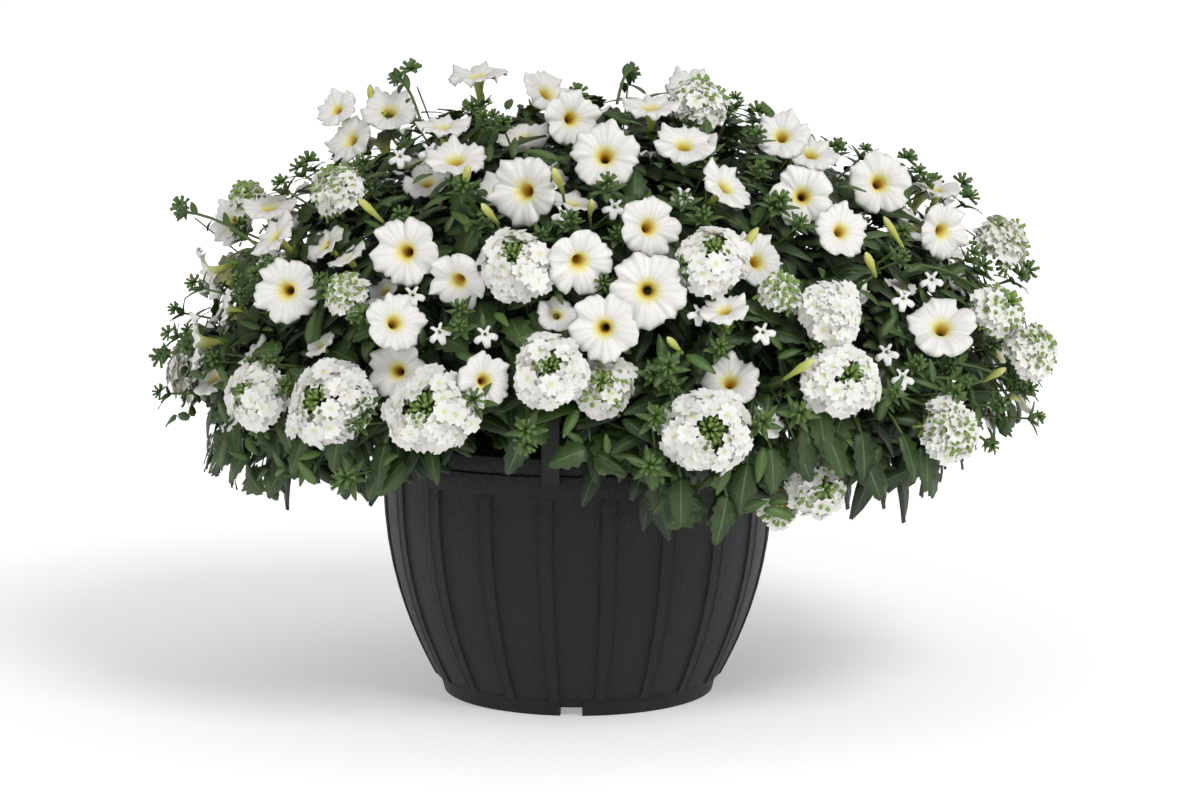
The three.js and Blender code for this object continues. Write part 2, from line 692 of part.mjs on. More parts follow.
// Flowers that touch share a spray; then the smallest sprays join their nearest neighbours.
function gather(items, most) {
  let groups = items.map((i) => [i]);
  const touch = (g, h) => g.some((a) => h.some((b) => near(a.solid, b.solid, GAP) && a.solid.minGap(b.solid, GAP) < GAP));
  for (let i = 0; i < groups.length; i++)
    for (let j = i + 1; j < groups.length; j++)
      if (touch(groups[i], groups[j])) {
        groups[i] = groups[i].concat(groups[j]);
        groups.splice(j, 1);
        j = i;
      }
  const middle = (g) => g.reduce((s, i) => s.add(i.p), V(0, 0, 0)).divideScalar(g.length);
  while (groups.length > most) {
    groups.sort((g, h) => g.length - h.length);
    const first = groups.shift(),
      c = middle(first);
    const cost = (g) => middle(g).distanceTo(c) + 25 * g.length;
    const mate = groups.reduce((best, g) => (cost(g) < cost(best) ? g : best));
    groups[groups.indexOf(mate)] = mate.concat(first);
  }
  return groups;
}

function soilZ(x, y) {
  const r = Math.hypot(x, y);
  return r < 86 ? SOIL_MID_Z - (4 * r) / 86 : SOIL_MID_Z - 4 - (8 * (r - 86)) / 60;
}

const roots = [];
function rootFor(p, nudge) {
  let x = 0.33 * (p.x - 10),
    y = 0.42 * p.y;
  for (let k = 0; k < 90; k++) {
    const a = 2.4 * (k + nudge * 7),
      r = 3.2 * Math.sqrt(k + nudge * 7);
    const q = V(x + r * Math.cos(a), y + r * Math.sin(a), 0);
    if (Math.hypot(q.x, q.y) < ROOT_REACH && roots.every((o) => Math.hypot(o.x - q.x, o.y - q.y) > 9)) return q;
  }
  throw new Error("no room for a root");
}

function stemPath(root, tip, n, lift, sway, steps, pull = 0.25) {
  const foot = V(root.x, root.y, soilZ(root.x, root.y) - HOLE_DEEP + 1),
    top = V(root.x, root.y, soilZ(root.x, root.y) + 6);
  const reach = V(tip.x - top.x, tip.y - top.y, 0),
    high = Math.max(70, (tip.z - top.z) * 0.55) * lift;
  const side = V(-reach.y, reach.x, 0).normalize().multiplyScalar(sway);
  const over = Math.hypot(tip.x, tip.y) > 150 && tip.z < 270;
  const b = top.clone().add(V(0, 0, high)).addScaledVector(reach, over ? 0.25 : 0.1).add(side);
  const c = over
    ? tip.clone().addScaledVector(n, -110 * pull).add(V(0, 0, 55 * lift))
    : tip.clone().addScaledVector(n, -pull * tip.distanceTo(top)).addScaledVector(side, 0.6);
  return [foot, ...bezier(top, b, c, tip, steps)];
}

// A side stem from the fork to a flower's base, swayed sideways if need be.
function branch(from, ahead, tip, n, sway) {
  const L = from.distanceTo(tip);
  const side = ahead.clone().cross(n).normalize().multiplyScalar(sway);
  const b = from.clone().addScaledVector(ahead, 0.25 * L).add(side),
    c = tip.clone().addScaledVector(n, -0.3 * L).add(side);
  return bezier(from, b, c, tip, 2);
}

let ground; // the soil before its stem holes are cut
const offGround = (path) => clearOf(tube(path.slice(1), 2, 2), [ground]);

const made = []; // every finished node: { name, solid, root, kind }
const TRIES = [0, 1, 2, 3, 5, 8].flatMap((nudge) =>
  [1, 0.8, 1.25, 0.6, 1.5, 0.3].flatMap((lift) =>
    [0, 25, -25, 50, -50, 90, -90].map((sway) => [nudge, lift, sway]),
  ),
);

// Wider ways, drawn by rule, for a lone flower that the plain ones can't reach.
const WIDER = Array.from({ length: 500 }, (_, k) => [
  Math.floor(14 * draw(k, 61)),
  0.2 + 2 * draw(k, 62),
  260 * (draw(k, 63) - 0.5),
  0.04 + 0.35 * draw(k, 64),
]);

// A side stem without the stretch where it leaves the knot.
function sideStem(way) {
  const off = Math.min(0.45, (3 * KNOT) / way[0].distanceTo(way[1]));
  return tube([way[0].clone().lerp(way[1], off), ...way.slice(1)], 1.3, 1);
}

// True if a stem reaches its flower's foot without brushing the flower on its way.
function meetsFromBehind(path, item) {
  const [a, b] = path.slice(-2);
  return clearOf(tube([...path.slice(1, -1), a, a.clone().lerp(b, 0.8)].slice(-2), 1.3, 1.3), [item.solid]);
}

// The side stems of a fork, or null if one of the flowers can't be reached.
function forkWays(main, group, others) {
  const end = main[main.length - 1],
    ahead = end.clone().sub(main[main.length - 2]).normalize(),
    from = end.clone().addScaledVector(ahead, KNOT);
  const ways = [],
    standing = [ground, tube(main, 2, 1.4), ...others];
  for (const item of group) {
    const rest = standing.concat(group.filter((o) => o !== item).flatMap((o) => [o.solid, o.guard]));
    const way = [0, 12, -12, 30, -30, 60, -60]
      .map((sway) => branch(from, ahead, item.base, item.n, sway))
      .find((w) => clearOf(sideStem(w), rest) && meetsFromBehind(w, item));
    if (!way) return null;
    standing.push(sideStem(way));
    ways.push({ way, flower: item.flower });
  }
  return ways;
}

// Joins a group of flowers to one root in the soil by the first set of stems that is clear;
// a group with no clear way lets flowers go and returns them.
function spray(kind, group, waiting) {
  const c = middleOf(group.map((i) => i.base)),
    n = middleOf(group.map((i) => i.n)).normalize();
  const others = made.map((m) => m.solid).concat(waiting),
    own = group.flatMap((i) => [i.solid, i.guard]);
  for (const [nudge, lift, sway, pull] of group.length === 1 ? TRIES.concat(WIDER) : TRIES) {
    const root = rootFor(c, nudge);
    let solid;
    if (group.length === 1) {
      const path = stemPath(root, c, n, lift, sway, 3, pull);
      if (offGround(path) && meetsFromBehind(path, group[0]) && clearOf(tube(path, 2, 1.2), others)) solid = tube(path, 2, 1.2, group[0].flower);
    } else {
      const path = stemPath(root, c, n, lift, sway, 4).slice(0, 4);
      const ways = offGround(path) && clearOf(tube(path, 2, 1.4), others.concat(own)) && forkWays(path, group, others);
      if (ways) solid = forked(path, ways);
    }
    if (!solid || !clearOf(solid, [makeSoil([stemHole(root)]), ...others])) continue;
    roots.push(root);
    const count = made.filter((m) => m.kind === kind).length + 1;
    made.push({ name: kind + "_spray_" + String(count).padStart(2, "0"), solid, root, kind });
    return [];
  }
  if (group.length === 1) throw new Error(kind + " has no clear way to the soil: " + c.toArray().map(Math.round));
  const order = [...group].sort((a, b) => a.p.distanceTo(c) - b.p.distanceTo(c)),
    gone = order.pop();
  return [gone, ...spray(kind, order, [...waiting, gone.solid, gone.guard])];
}

function middleOf(points) {
  return points.reduce((s, p) => s.add(p), V(0, 0, 0)).divideScalar(points.length);
}

// One leafy shoot: pairs of leaves on opposite sides of the stem's outer part, and its tip.
function shoot(name, at, size, toothed, bud) {
  const others = made.map((m) => m.solid);
  const tries = SINKS.flatMap((extra) => TRIES.map((t) => [at(extra), ...t]));
  for (const [tip, nudge, lift, sway] of tries) {
    const n = outward(tip),
      root = rootFor(tip, nudge),
      path = stemPath(root, tip, n, lift, sway, 4);
    const run = tip.clone().sub(path[path.length - 2]).normalize(),
      aim = run.clone().addScaledVector(n, 0.6).normalize();
    const head = bud ? place(budCluster(18), tip.clone().addScaledVector(aim, 8), aim) : undefined;
    const stem = tube(path, 2, 1, head);
    if (!stem || !offGround(path) || !clearOf(stem, others)) continue;
    const nodes = [1.75, 2.45, 3.1, 3.7].map((t) => t + 0.2 * (draw(roots.length, t) - 0.5));
    const solid = leafyStem(path, nodes, head, size, toothed, others);
    if (!clearOf(solid, [makeSoil([stemHole(root)]), ...others])) continue;
    roots.push(root);
    made.push({ name, solid, root, kind: "shoot" });
    return;
  }
  throw new Error(name + " has no clear way to the soil");
}

// The stem with a short ring pair at each node, where a side face gives way to a leaf's base.
function leafyStem(path, nodes, head, size, toothed, others) {
  const on = (t) => path[Math.floor(t)].clone().lerp(path[Math.floor(t) + 1], t - Math.floor(t));
  const stops = path.map((p, i) => ({ t: i, p }));
  nodes.forEach((t, k) => {
    const p = on(t),
      along = on(t + 0.02).sub(p).normalize();
    stops.push({ t, p, node: k }, { t: t + 1e-3, p: p.clone().addScaledVector(along, 3) });
  });
  stops.sort((a, b) => a.t - b.t);
  const body = new Body(),
    rings = body.stem(stops.map((s) => s.p), 2, 1, head && head.dir);
  body.faces.push([...rings[0]].reverse());
  if (head) body.flower(rings[rings.length - 1], head, path[path.length - 2]);
  else body.faces.push(rings[rings.length - 1]);
  const standing = [ground, tube(path, 2, 1), ...others];
  if (head) standing.push(closed(head));
  stops.forEach((stop, k) => {
    if (stop.node === undefined) return;
    for (const side of stop.node % 2 ? [0, 1] : [2, 0, 1].slice(0, 2)) growLeaf(body, rings, k, side, size, toothed, standing);
  });
  return body.solid();
}

function growLeaf(body, rings, k, side, size, toothed, standing) {
  const a = rings[k][side],
    b = rings[k][(side + 1) % 3],
    c = rings[k + 1][(side + 1) % 3];
  const index = body.faces.findIndex((t) => t[0] === a && t[1] === b && t[2] === c),
    corners = [a, b, c].map((i) => body.points[i]);
  const at = middleOf(corners),
    normal = corners[1].clone().sub(corners[0]).cross(corners[2].clone().sub(corners[0])).normalize(),
    axis = middleOf(rings[k + 1].map((i) => body.points[i])).sub(middleOf(rings[k].map((i) => body.points[i]))).normalize();
  const long = size * (0.8 + 0.35 * draw(k + 3 * side, size)),
    wide = long * (toothed ? 0.6 : 0.42);
  for (const [lean, twist] of [[0.6, 0], [1.2, 0], [0.2, 0], [0.6, 35], [0.6, -35], [1.4, 25], [0.1, -25]]) {
    const dir = normal.clone().applyAxisAngle(axis, rad(twist)).addScaledVector(axis, lean).normalize();
    const blade = placeLeaf(leaf(long, wide, toothed), at.clone().addScaledVector(dir, 2), dir, outward(at).add(UP));
    const outer = closed({ ...blade, foot: at.clone().addScaledVector(dir, 0.25 * long) });
    if (!clearOf(outer, standing)) continue;
    const kept = [body.points.length, [...body.faces]];
    body.faces.splice(index, 1);
    const first = body.faces.length;
    body.flower([a, b, c], blade, at.clone().sub(dir));
    if (body.whole(first)) {
      standing.push(outer);
      return;
    }
    body.points.length = kept[0];
    body.faces = kept[1];
  }
}

function material(color, roughness) {
  return new THREE.MeshStandardMaterial({ color, roughness, metalness: 0 });
}

const PAINT = {
  pot: material(0x26272a, 0.5),
  clip: material(0x2b2c2f, 0.45),
  soil: material(0x33261c, 0.95),
  petunia: material(0xf6f5ee, 0.6),
  verbena: material(0xf3f4ea, 0.65),
  lobelia: material(0xf1f3f3, 0.6),
  shoot: material(0x3f6b2a, 0.6),
};

function meshOf(name, solid, paint) {
  const m = solid.getMesh();
  const g = new THREE.BufferGeometry();
  g.setAttribute("position", new THREE.BufferAttribute(new Float32Array(m.vertProperties), 3));
  g.setIndex(new THREE.BufferAttribute(new Uint32Array(m.triVerts), 1));
  const flat = g.toNonIndexed();
  flat.computeVertexNormals();
  const mesh = new THREE.Mesh(flat, paint);
  mesh.name = name;
  return mesh;
}

// A plain three-cornered hole a little wider than the stem that stands in it.
function stemHole(root) {
  const r = 2 + 3.6 * GAP;
  return Manifold.cylinder(60, r, r, 6).translate([root.x, root.y, soilZ(root.x, root.y) - HOLE_DEEP]);
}

function build() {
  const pot = makePot(),
    clips = ["front", "right", "back", "left"].map((side, k) => [side, makeClip(CLIP_DEG + 90 * k)]);
  const group = new THREE.Group();
  group.name = "petunia_hanging_basket";
  group.add(meshOf("pot", pot, PAINT.pot));
  clips.forEach(([side, c]) => group.add(meshOf("rim_clip_" + side, c, PAINT.clip)));
  made.push({ solid: pot, kind: "pot" }, ...clips.map(([, c]) => ({ solid: c, kind: "clip" })));
  const items = flowerItems();
  ground = makeSoil([]);
  setFlowers(items, made.map((m) => m.solid).concat(ground));
  const waitingRoom = Object.entries(SPRAYS).flatMap(([kind, most]) =>
    gather(items.filter((i) => i.kind === kind), most).map((g) => [kind, g]),
  );
  // the widest-reaching sprays first, so that their stems bend least
  waitingRoom.sort((a, b) => reachOf(b[1]) - reachOf(a[1]));
  while (waitingRoom.length) {
    const [kind, g] = waitingRoom.shift();
    const left = spray(kind, g, waitingRoom.flatMap(([, o]) => o.flatMap((i) => [i.solid, i.guard])));
    left.forEach((item) => waitingRoom.unshift([kind, [item]]));
  }
  SHOOTS.forEach(([u, w, sink, size, toothed, bud], i) => {
    shoot("leafy_shoot_" + String(i + 1).padStart(2, "0"), (extra) => onDome(u, w, sink + extra), size, toothed, bud);
  });
  for (let i = 0; i < BACK_SHOOTS; i++) {
    const at = (extra) => byAngle(180 + 66 * (i - 1), 4, 0.97 - extra / 250);
    shoot("leafy_shoot_" + String(SHOOTS.length + i + 1).padStart(2, "0"), at, 42, i % 2, 1);
  }
  const plants = made.filter((m) => m.name);
  group.add(meshOf("soil", makeSoil(roots.map(stemHole)), PAINT.soil));
  plants.forEach((m) => group.add(meshOf(m.name, m.solid, PAINT[m.kind])));
  return group;
}

function reachOf(group) {
  return Math.max(...group.map((i) => Math.hypot(i.p.x, i.p.y)));
}

export default build();
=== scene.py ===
# %% [markdown]
# # A petunia hanging basket
# A fluted patio pot stands on its foot ring, planted with a dome of white petunias, verbena heads
# and a few lobelias. The plain CAD model, called the frame, already holds the pot and every bloom
# and stem in its place. This script measures those places and puts a finer piece where each plain
# one stands. Then it adds what is too fine for the frame: leaves, buds and half-hidden blooms.
#
# Meshes are in metres, with Z up and the front towards -Y. Planting places are in millimetres, as
# the frame's planting was, and are scaled by MM where they reach a mesh.

import math

import bmesh
import bpy
from mathutils import Matrix, Quaternion, Vector, kdtree, noise


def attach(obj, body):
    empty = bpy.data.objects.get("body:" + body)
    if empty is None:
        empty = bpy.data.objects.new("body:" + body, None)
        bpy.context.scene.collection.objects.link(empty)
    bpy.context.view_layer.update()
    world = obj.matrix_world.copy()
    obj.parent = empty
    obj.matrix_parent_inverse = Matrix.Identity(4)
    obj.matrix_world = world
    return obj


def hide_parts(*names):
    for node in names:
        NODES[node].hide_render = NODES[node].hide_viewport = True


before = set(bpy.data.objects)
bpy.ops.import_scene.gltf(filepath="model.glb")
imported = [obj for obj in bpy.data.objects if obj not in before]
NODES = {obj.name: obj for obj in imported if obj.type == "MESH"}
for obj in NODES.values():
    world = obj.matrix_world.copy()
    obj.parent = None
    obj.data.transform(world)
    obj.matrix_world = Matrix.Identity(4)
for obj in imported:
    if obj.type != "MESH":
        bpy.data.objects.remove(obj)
MM = 0.001
UP = Vector((0, 0, 1))
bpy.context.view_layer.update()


# %% Draws and finished pieces
GOLDEN_TURN = 2.39996  # the golden angle in radians: steps of it spread points evenly over a dome
GOLDEN_SHARE = 0.618034  # the same for shares of a full turn
CIRCLE = 6.28  # the range of a drawn turn, in radians


def frac(x):
    return x - math.floor(x)


def draw(i, channel):
    """A seeded draw from 0 to 1. Each purpose has a channel of its own, so that draws don't match."""
    return frac(math.sin(i * 12.9898 + channel * 78.233) * 43758.5453)


def between(low, high, share):
    return low + (high - low) * share


def as_mesh(bm, name):
    mesh = bpy.data.meshes.new(name)
    bm.to_mesh(mesh)
    bm.free()
    return mesh


def face_out(bm):
    bmesh.ops.recalc_face_normals(bm, faces=bm.faces[:])


def new_object(name, data):
    made = bpy.data.objects.new(name, data)
    bpy.context.scene.collection.objects.link(made)
    return made


def finish_piece(bm, name, material, node=None, smooth=True):
    """Makes an object of bm, on the root body, in place of a CAD node if one is named."""
    mesh = as_mesh(bm, name)
    for poly in mesh.polygons:
        poly.use_smooth = smooth
    mesh.materials.append(material)
    piece = new_object(name, mesh)
    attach(piece, "root")
    if node:
        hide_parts(node)
    return piece


# %% [markdown]
# ## Materials
# Petals and leaves are thin, soft and veined, and the pot is dull moulded plastic with a grain.
# Image textures could show that, but drawn patterns stay sharp at any distance. Small node groups
# make them, so that one effect serves several materials. A petal piece carries its own map: how
# far round the bloom a point lies, and how far out from the throat. Object coordinates would be
# simpler, but only the map puts every bloom's veins in place however the bloom is turned.


# %% Node helpers
def set_inputs(made, values):
    for key, value in values.items():
        made.inputs[key.replace("_", " ")].default_value = value


def new_material(name, **values):
    mat = bpy.data.materials.new(name)
    mat.use_nodes = True
    shader = mat.node_tree.nodes["Principled BSDF"]
    set_inputs(shader, values)
    return mat, mat.node_tree, shader


def node(tree, kind, **values):
    """Adds a node. A value sets the node's own property of that name, or else its input.

    The helpers below that are given a socket find the tree by it.
    """
    made = tree.nodes.new(kind)
    for key, value in values.items():
        if hasattr(made, key):
            setattr(made, key, value)
        else:
            made.inputs[key].default_value = value
    return made


def feed(socket, value):
    """Links a node's output into the socket, or sets the socket to a number or a colour."""
    if isinstance(value, (int, float)):
        socket.default_value = value
    elif isinstance(value, tuple):
        socket.default_value = value + (1.0,)
    else:
        socket.id_data.links.new(value, socket)


def calc(operation, a, b=None):
    made = node(a.id_data, "ShaderNodeMath", operation=operation)
    feed(made.inputs[0], a)
    if b is not None:
        feed(made.inputs[1], b)
    return made.outputs[0]


def mix_color(factor, a, b):
    made = node(factor.id_data, "ShaderNodeMix", data_type="RGBA")
    for socket, value in ((0, factor), (6, a), (7, b)):  # where a colour mix has its inputs
        feed(made.inputs[socket], value)
    return made.outputs[2]


def ramp(source, stops):
    made = node(source.id_data, "ShaderNodeValToRGB")
    bar = made.color_ramp.elements
    while len(bar) < len(stops):
        bar.new(0.5)
    for element, (place, color) in zip(bar, stops):
        element.position = place
        element.color = color + (1.0,)
    feed(made.inputs[0], source)
    return made.outputs[0]


def noise_on(place, scale, **values):
    made = node(place.id_data, "ShaderNodeTexNoise", **values)
    feed(made.inputs["Vector"], place)
    feed(made.inputs["Scale"], scale)
    return made.outputs[0]


def on_object(tree):
    return node(tree, "ShaderNodeTexCoord").outputs["Object"]


def bloom_map(tree):
    """The two coordinates of the piece's own map, as separate numbers."""
    split = node(tree, "ShaderNodeSeparateXYZ")
    tree.links.new(node(tree, "ShaderNodeUVMap", uv_map="bloom").outputs[0], split.inputs[0])
    return split.outputs[0], split.outputs[1]


def tone_of(tree):
    return node(tree, "ShaderNodeAttribute", attribute_name="tone").outputs["Fac"]


def new_group(name, inputs, outputs):
    group = bpy.data.node_groups.new(name, "ShaderNodeTree")
    for label, value in inputs.items():
        kind = "NodeSocketColor" if isinstance(value, tuple) else "NodeSocketFloat"
        socket = group.interface.new_socket(label, in_out="INPUT", socket_type=kind)
        socket.default_value = value
    for label in outputs:
        kind = "NodeSocketColor" if label == "Color" else "NodeSocketFloat"
        group.interface.new_socket(label, in_out="OUTPUT", socket_type=kind)
    return group, group.nodes.new("NodeGroupInput"), group.nodes.new("NodeGroupOutput")


def put_out(group, end, **values):
    for label, value in values.items():
        group.links.new(value, end.inputs[label])


def use_group(tree, group, **values):
    made = node(tree, "ShaderNodeGroup")
    made.node_tree = group
    set_inputs(made, values)
    return made


# %% Moulded grain
UPRIGHT_GRAIN = (1.0, 1.0, 0.32)  # the grain is three times as long as it is wide


def grain_group():
    """Fine leathery grain and faint dust, for moulded plastic."""
    inputs = {"Scale": 900.0, "Base": (0.02, 0.02, 0.02, 1), "Dust": (0.12, 0.12, 0.12, 1),
              "Dust Amount": 0.35}
    group, a, z = new_group("MouldedGrain", inputs, ["Color", "Height", "Roughness"])
    place = on_object(group)
    drawn_out = node(group, "ShaderNodeVectorMath", operation="MULTIPLY")
    drawn_out.inputs[1].default_value = UPRIGHT_GRAIN
    group.links.new(place, drawn_out.inputs[0])
    grain = noise_on(drawn_out.outputs[0], a.outputs["Scale"], Detail=4.0, Roughness=0.65)
    cloud = noise_on(place, 22.0, Detail=5.0, Roughness=0.6)
    patch = calc("MULTIPLY", calc("SUBTRACT", cloud, 0.42), a.outputs["Dust Amount"])
    dust = calc("MAXIMUM", calc("ADD", patch, calc("MULTIPLY", grain, 0.12)), 0.0)
    rough = calc("ADD", calc("MULTIPLY", cloud, 0.3), 0.3)
    put_out(group, z, Color=mix_color(dust, a.outputs["Base"], a.outputs["Dust"]),
            Height=grain, Roughness=rough)
    return group


# %% Petal veins
BACK_FROM = 1.5  # the map's v has 2 added on the outside of a bloom, so more than this is outside
FADED_FROM = 0.9  # a bloom whose tone is higher than this has withered


def petal_vein_group():
    """Radiating veins on a mapped bloom: u runs round it and v out from the throat."""
    group, a, z = new_group("PetalVeins", {"Count": 60.0, "Wander": 0.5},
                            ["Vein", "Out", "Outside", "Faded"])
    around, along = bloom_map(group)
    wobble = noise_on(on_object(group), 260.0, Detail=2.0)
    turn = calc("MULTIPLY", around, a.outputs["Count"])
    sway = calc("MULTIPLY", wobble, a.outputs["Wander"])
    wave = calc("PINGPONG", calc("ADD", turn, sway), 1.0)
    patchy = noise_on(on_object(group), 70.0, Detail=1.0)
    vein = calc("MULTIPLY", calc("POWER", wave, 4.0), patchy)
    outside = calc("GREATER_THAN", along, BACK_FROM)
    out = calc("SUBTRACT", along, calc("MULTIPLY", outside, 2.0))
    put_out(group, z, Vein=vein, Out=out, Outside=outside,
            Faded=calc("GREATER_THAN", tone_of(group), FADED_FROM))
    return group


# %% Leaf blade
RIB_HALF = 0.035  # half the midrib's width, over the blade's
SIDE_VEINS = 9.0


def leaf_group():
    """Leaf colour from its tone, with a pale midrib, side veins and blotches."""
    inputs = {"Dark": (0.018, 0.05, 0.008, 1), "Light": (0.16, 0.3, 0.05, 1), "Rib": (0.26, 0.38, 0.12, 1)}
    group, a, z = new_group("LeafBlade", inputs, ["Color", "Height"])
    along, over = bloom_map(group)
    across = calc("ABSOLUTE", calc("SUBTRACT", over, 0.5))
    rib = calc("LESS_THAN", across, RIB_HALF)
    slant = calc("ADD", calc("MULTIPLY", along, SIDE_VEINS), calc("MULTIPLY", across, -5.0))
    side = calc("MULTIPLY", calc("POWER", calc("PINGPONG", slant, 0.5), 6.0), 28.0)
    blotch = noise_on(on_object(group), 120.0, Detail=3.0)
    spread = calc("MULTIPLY", calc("SUBTRACT", blotch, 0.5), 0.35)
    shade = calc("ADD", tone_of(group), spread)
    color = mix_color(shade, a.outputs["Dark"], a.outputs["Light"])
    lines = calc("ADD", calc("MULTIPLY", rib, 0.4), calc("MULTIPLY", side, 0.35))
    put_out(group, z, Color=mix_color(lines, color, a.outputs["Rib"]),
            Height=calc("SUBTRACT", calc("MULTIPLY", blotch, 0.4), lines))
    return group


GRAIN = grain_group()
VEINS = petal_vein_group()
BLADE = leaf_group()
print("node groups", GRAIN.name, VEINS.name, BLADE.name)

# %% The materials themselves
GRAIN_DEPTH, VEIN_DEPTH, BLADE_DEPTH = 0.0022, 0.0005, 0.0006
WHITE = (0.79, 0.78, 0.75)
WITHERED = (0.36, 0.2, 0.07)
WAXY_GLOW = 0.25  # how much light passes through a petal
WAXY_REACH = (0.002, 0.002, 0.0014)


def bump(shader, height, strength, distance):
    tree = shader.id_data
    made = node(tree, "ShaderNodeBump", Strength=strength, Distance=distance)
    tree.links.new(height, made.inputs["Height"])
    tree.links.new(made.outputs[0], shader.inputs["Normal"])


def plastic(name, base, dust, amount, scale, strength):
    mat, tree, shader = new_material(name, Roughness=0.45, Specular_IOR_Level=0.3)
    grain = use_group(tree, GRAIN, Scale=scale, Base=base + (1,), Dust=dust + (1,), Dust_Amount=amount)
    tree.links.new(grain.outputs["Color"], shader.inputs["Base Color"])
    tree.links.new(grain.outputs["Roughness"], shader.inputs["Roughness"])
    bump(shader, grain.outputs["Height"], strength, GRAIN_DEPTH)
    return mat


def petal(name, veins, vein_color, vein_amount, throat, outer):
    """A petal that runs from the throat's colours to white, and through `outer` on its back."""
    mat, tree, shader = new_material(name, Roughness=0.55, Subsurface_Weight=WAXY_GLOW,
                                     Subsurface_Radius=WAXY_REACH)
    count, wander = veins
    mapped = use_group(tree, VEINS, Count=count, Wander=wander)
    inner = ramp(mapped.outputs["Out"], throat)
    back = ramp(mapped.outputs["Out"], outer)
    color = mix_color(mapped.outputs["Outside"], inner, back)
    amount = calc("MULTIPLY", mapped.outputs["Vein"], vein_amount)
    color = mix_color(amount, color, vein_color)
    color = mix_color(mapped.outputs["Faded"], color, WITHERED)
    tree.links.new(color, shader.inputs["Base Color"])
    bump(shader, mapped.outputs["Vein"], 0.35, VEIN_DEPTH)
    return mat


def foliage(name, dark, light, rib):
    mat, tree, shader = new_material(name, Roughness=0.5)
    blade = use_group(tree, BLADE, Dark=dark + (1,), Light=light + (1,), Rib=rib + (1,))
    tree.links.new(blade.outputs["Color"], shader.inputs["Base Color"])
    bump(shader, blade.outputs["Height"], 0.35, BLADE_DEPTH)
    return mat


# Each list of stops gives a colour at a share of the way from the foot of the tube to the edge.
PETUNIA = petal(
    "PetuniaPetal", (44.0, 1.6), (0.42, 0.42, 0.4), 0.45,
    [(0.0, (0.5, 0.26, 0.03)), (0.3, (0.66, 0.42, 0.05)), (0.4, (0.74, 0.62, 0.12)),
     (0.49, (0.78, 0.75, 0.42)), (0.6, WHITE)],
    [(0.0, (0.26, 0.36, 0.06)), (0.3, (0.52, 0.55, 0.1)), (0.45, (0.66, 0.68, 0.32)),
     (0.62, (0.74, 0.75, 0.6)), (1.0, (0.76, 0.76, 0.73))],
)
VERBENA = petal(
    "VerbenaPetal", (20.0, 1.2), (0.6, 0.6, 0.5), 0.35,
    [(0.0, (0.4, 0.45, 0.08)), (0.2, (0.6, 0.62, 0.25)), (0.3, (0.78, 0.78, 0.62)), (0.42, WHITE)],
    [(0.0, (0.34, 0.42, 0.14)), (0.4, (0.66, 0.68, 0.5)), (1.0, (0.77, 0.77, 0.72))],
)
LOBELIA = petal(
    "LobeliaPetal", (15.0, 1.0), (0.6, 0.6, 0.62), 0.3,
    [(0.0, (0.5, 0.55, 0.1)), (0.25, (0.7, 0.7, 0.35)), (0.4, (0.8, 0.8, 0.79)), (1.0, (0.81, 0.81, 0.8))],
    [(0.0, (0.3, 0.4, 0.15)), (1.0, (0.74, 0.75, 0.75))],
)
LEAF = foliage("Leaf", (0.005, 0.018, 0.004), (0.1, 0.19, 0.035), (0.17, 0.26, 0.08))
STEM = foliage("Stem", (0.03, 0.07, 0.012), (0.24, 0.38, 0.07), (0.3, 0.42, 0.12))
POT = plastic("PotPlastic", (0.009, 0.009, 0.0095), (0.06, 0.06, 0.062), 0.16, 620.0, 1.0)
CLIP = plastic("ClipPlastic", (0.008, 0.008, 0.009), (0.05, 0.05, 0.05), 0.16, 500.0, 0.3)
SOIL = plastic("Compost", (0.03, 0.018, 0.01), (0.14, 0.09, 0.05), 1.2, 260.0, 1.0)
print("materials", len(bpy.data.materials))

# %% [markdown]
# ## The pot
# The real pot is moulded in one skin: twenty raised strips, a proud band under the lip and a foot
# ring with drain notches. Staves could be laid round a barrel one by one, but they would leave
# seams. Instead one circle is extruded from ring to ring, under the floor, up the wall, round the
# lip and down the inside, because each ring only has to know how far a strip stands out there.


# %% Rings of points
def key_of(v):
    return tuple(round(c, 6) for c in v.co)


def rings(bm, count, steps):
    """Draws a circle and extrudes it step by step, for tubes, sheets and walls.

    Each step yields its number, its points with the angles they had in the first circle, and its
    edges. The caller moves the points before the next ring is drawn from them.
    """
    first = bmesh.ops.create_circle(bm, segments=count, radius=1.0)["verts"]
    loop = list(dict.fromkeys(e for v in first for e in v.link_edges))
    turns = {v: math.atan2(v.co.y, v.co.x) for v in first}
    for k in range(steps):
        if k:
            before = {key_of(v): a for v, a in turns.items()}
            made = bmesh.ops.extrude_edge_only(bm, edges=loop)["geom"]
            turns = {g: before[key_of(g)] for g in made if isinstance(g, bmesh.types.BMVert)}
            edges = [g for g in made if isinstance(g, bmesh.types.BMEdge)]
            loop = [e for e in edges if all(v in turns for v in e.verts)]
        yield k, turns, loop


def close_ends(bm, last):
    """Caps the last ring, and then whatever is still open."""
    bmesh.ops.contextual_create(bm, geom=last)
    bmesh.ops.contextual_create(bm, geom=[e for e in bm.edges if e.is_boundary])


# %% The pot's profile
STAVES = 20
STAVE_DEG = 360 / STAVES
FRONT_DEG = -90 + STAVE_DEG / 2  # a strip's middle, next to the front
BARREL_TOP = 174.0
BAND_R = 153.0
WALL = 5.2
# turn within one stave in degrees, and how far the wall lies behind the strip there, in mm
STAVE = [(-2.4, 1.2), (-2.2, 0.1), (-2.0, -0.2), (-1.75, 0.2), (0.0, 0.15), (1.75, 0.2), (2.0, -0.2),
         (2.2, 0.1), (2.4, 1.2), (3.0, 1.2), (6.0, 1.05), (9.0, 1.0), (12.0, 1.05), (15.0, 1.2)]
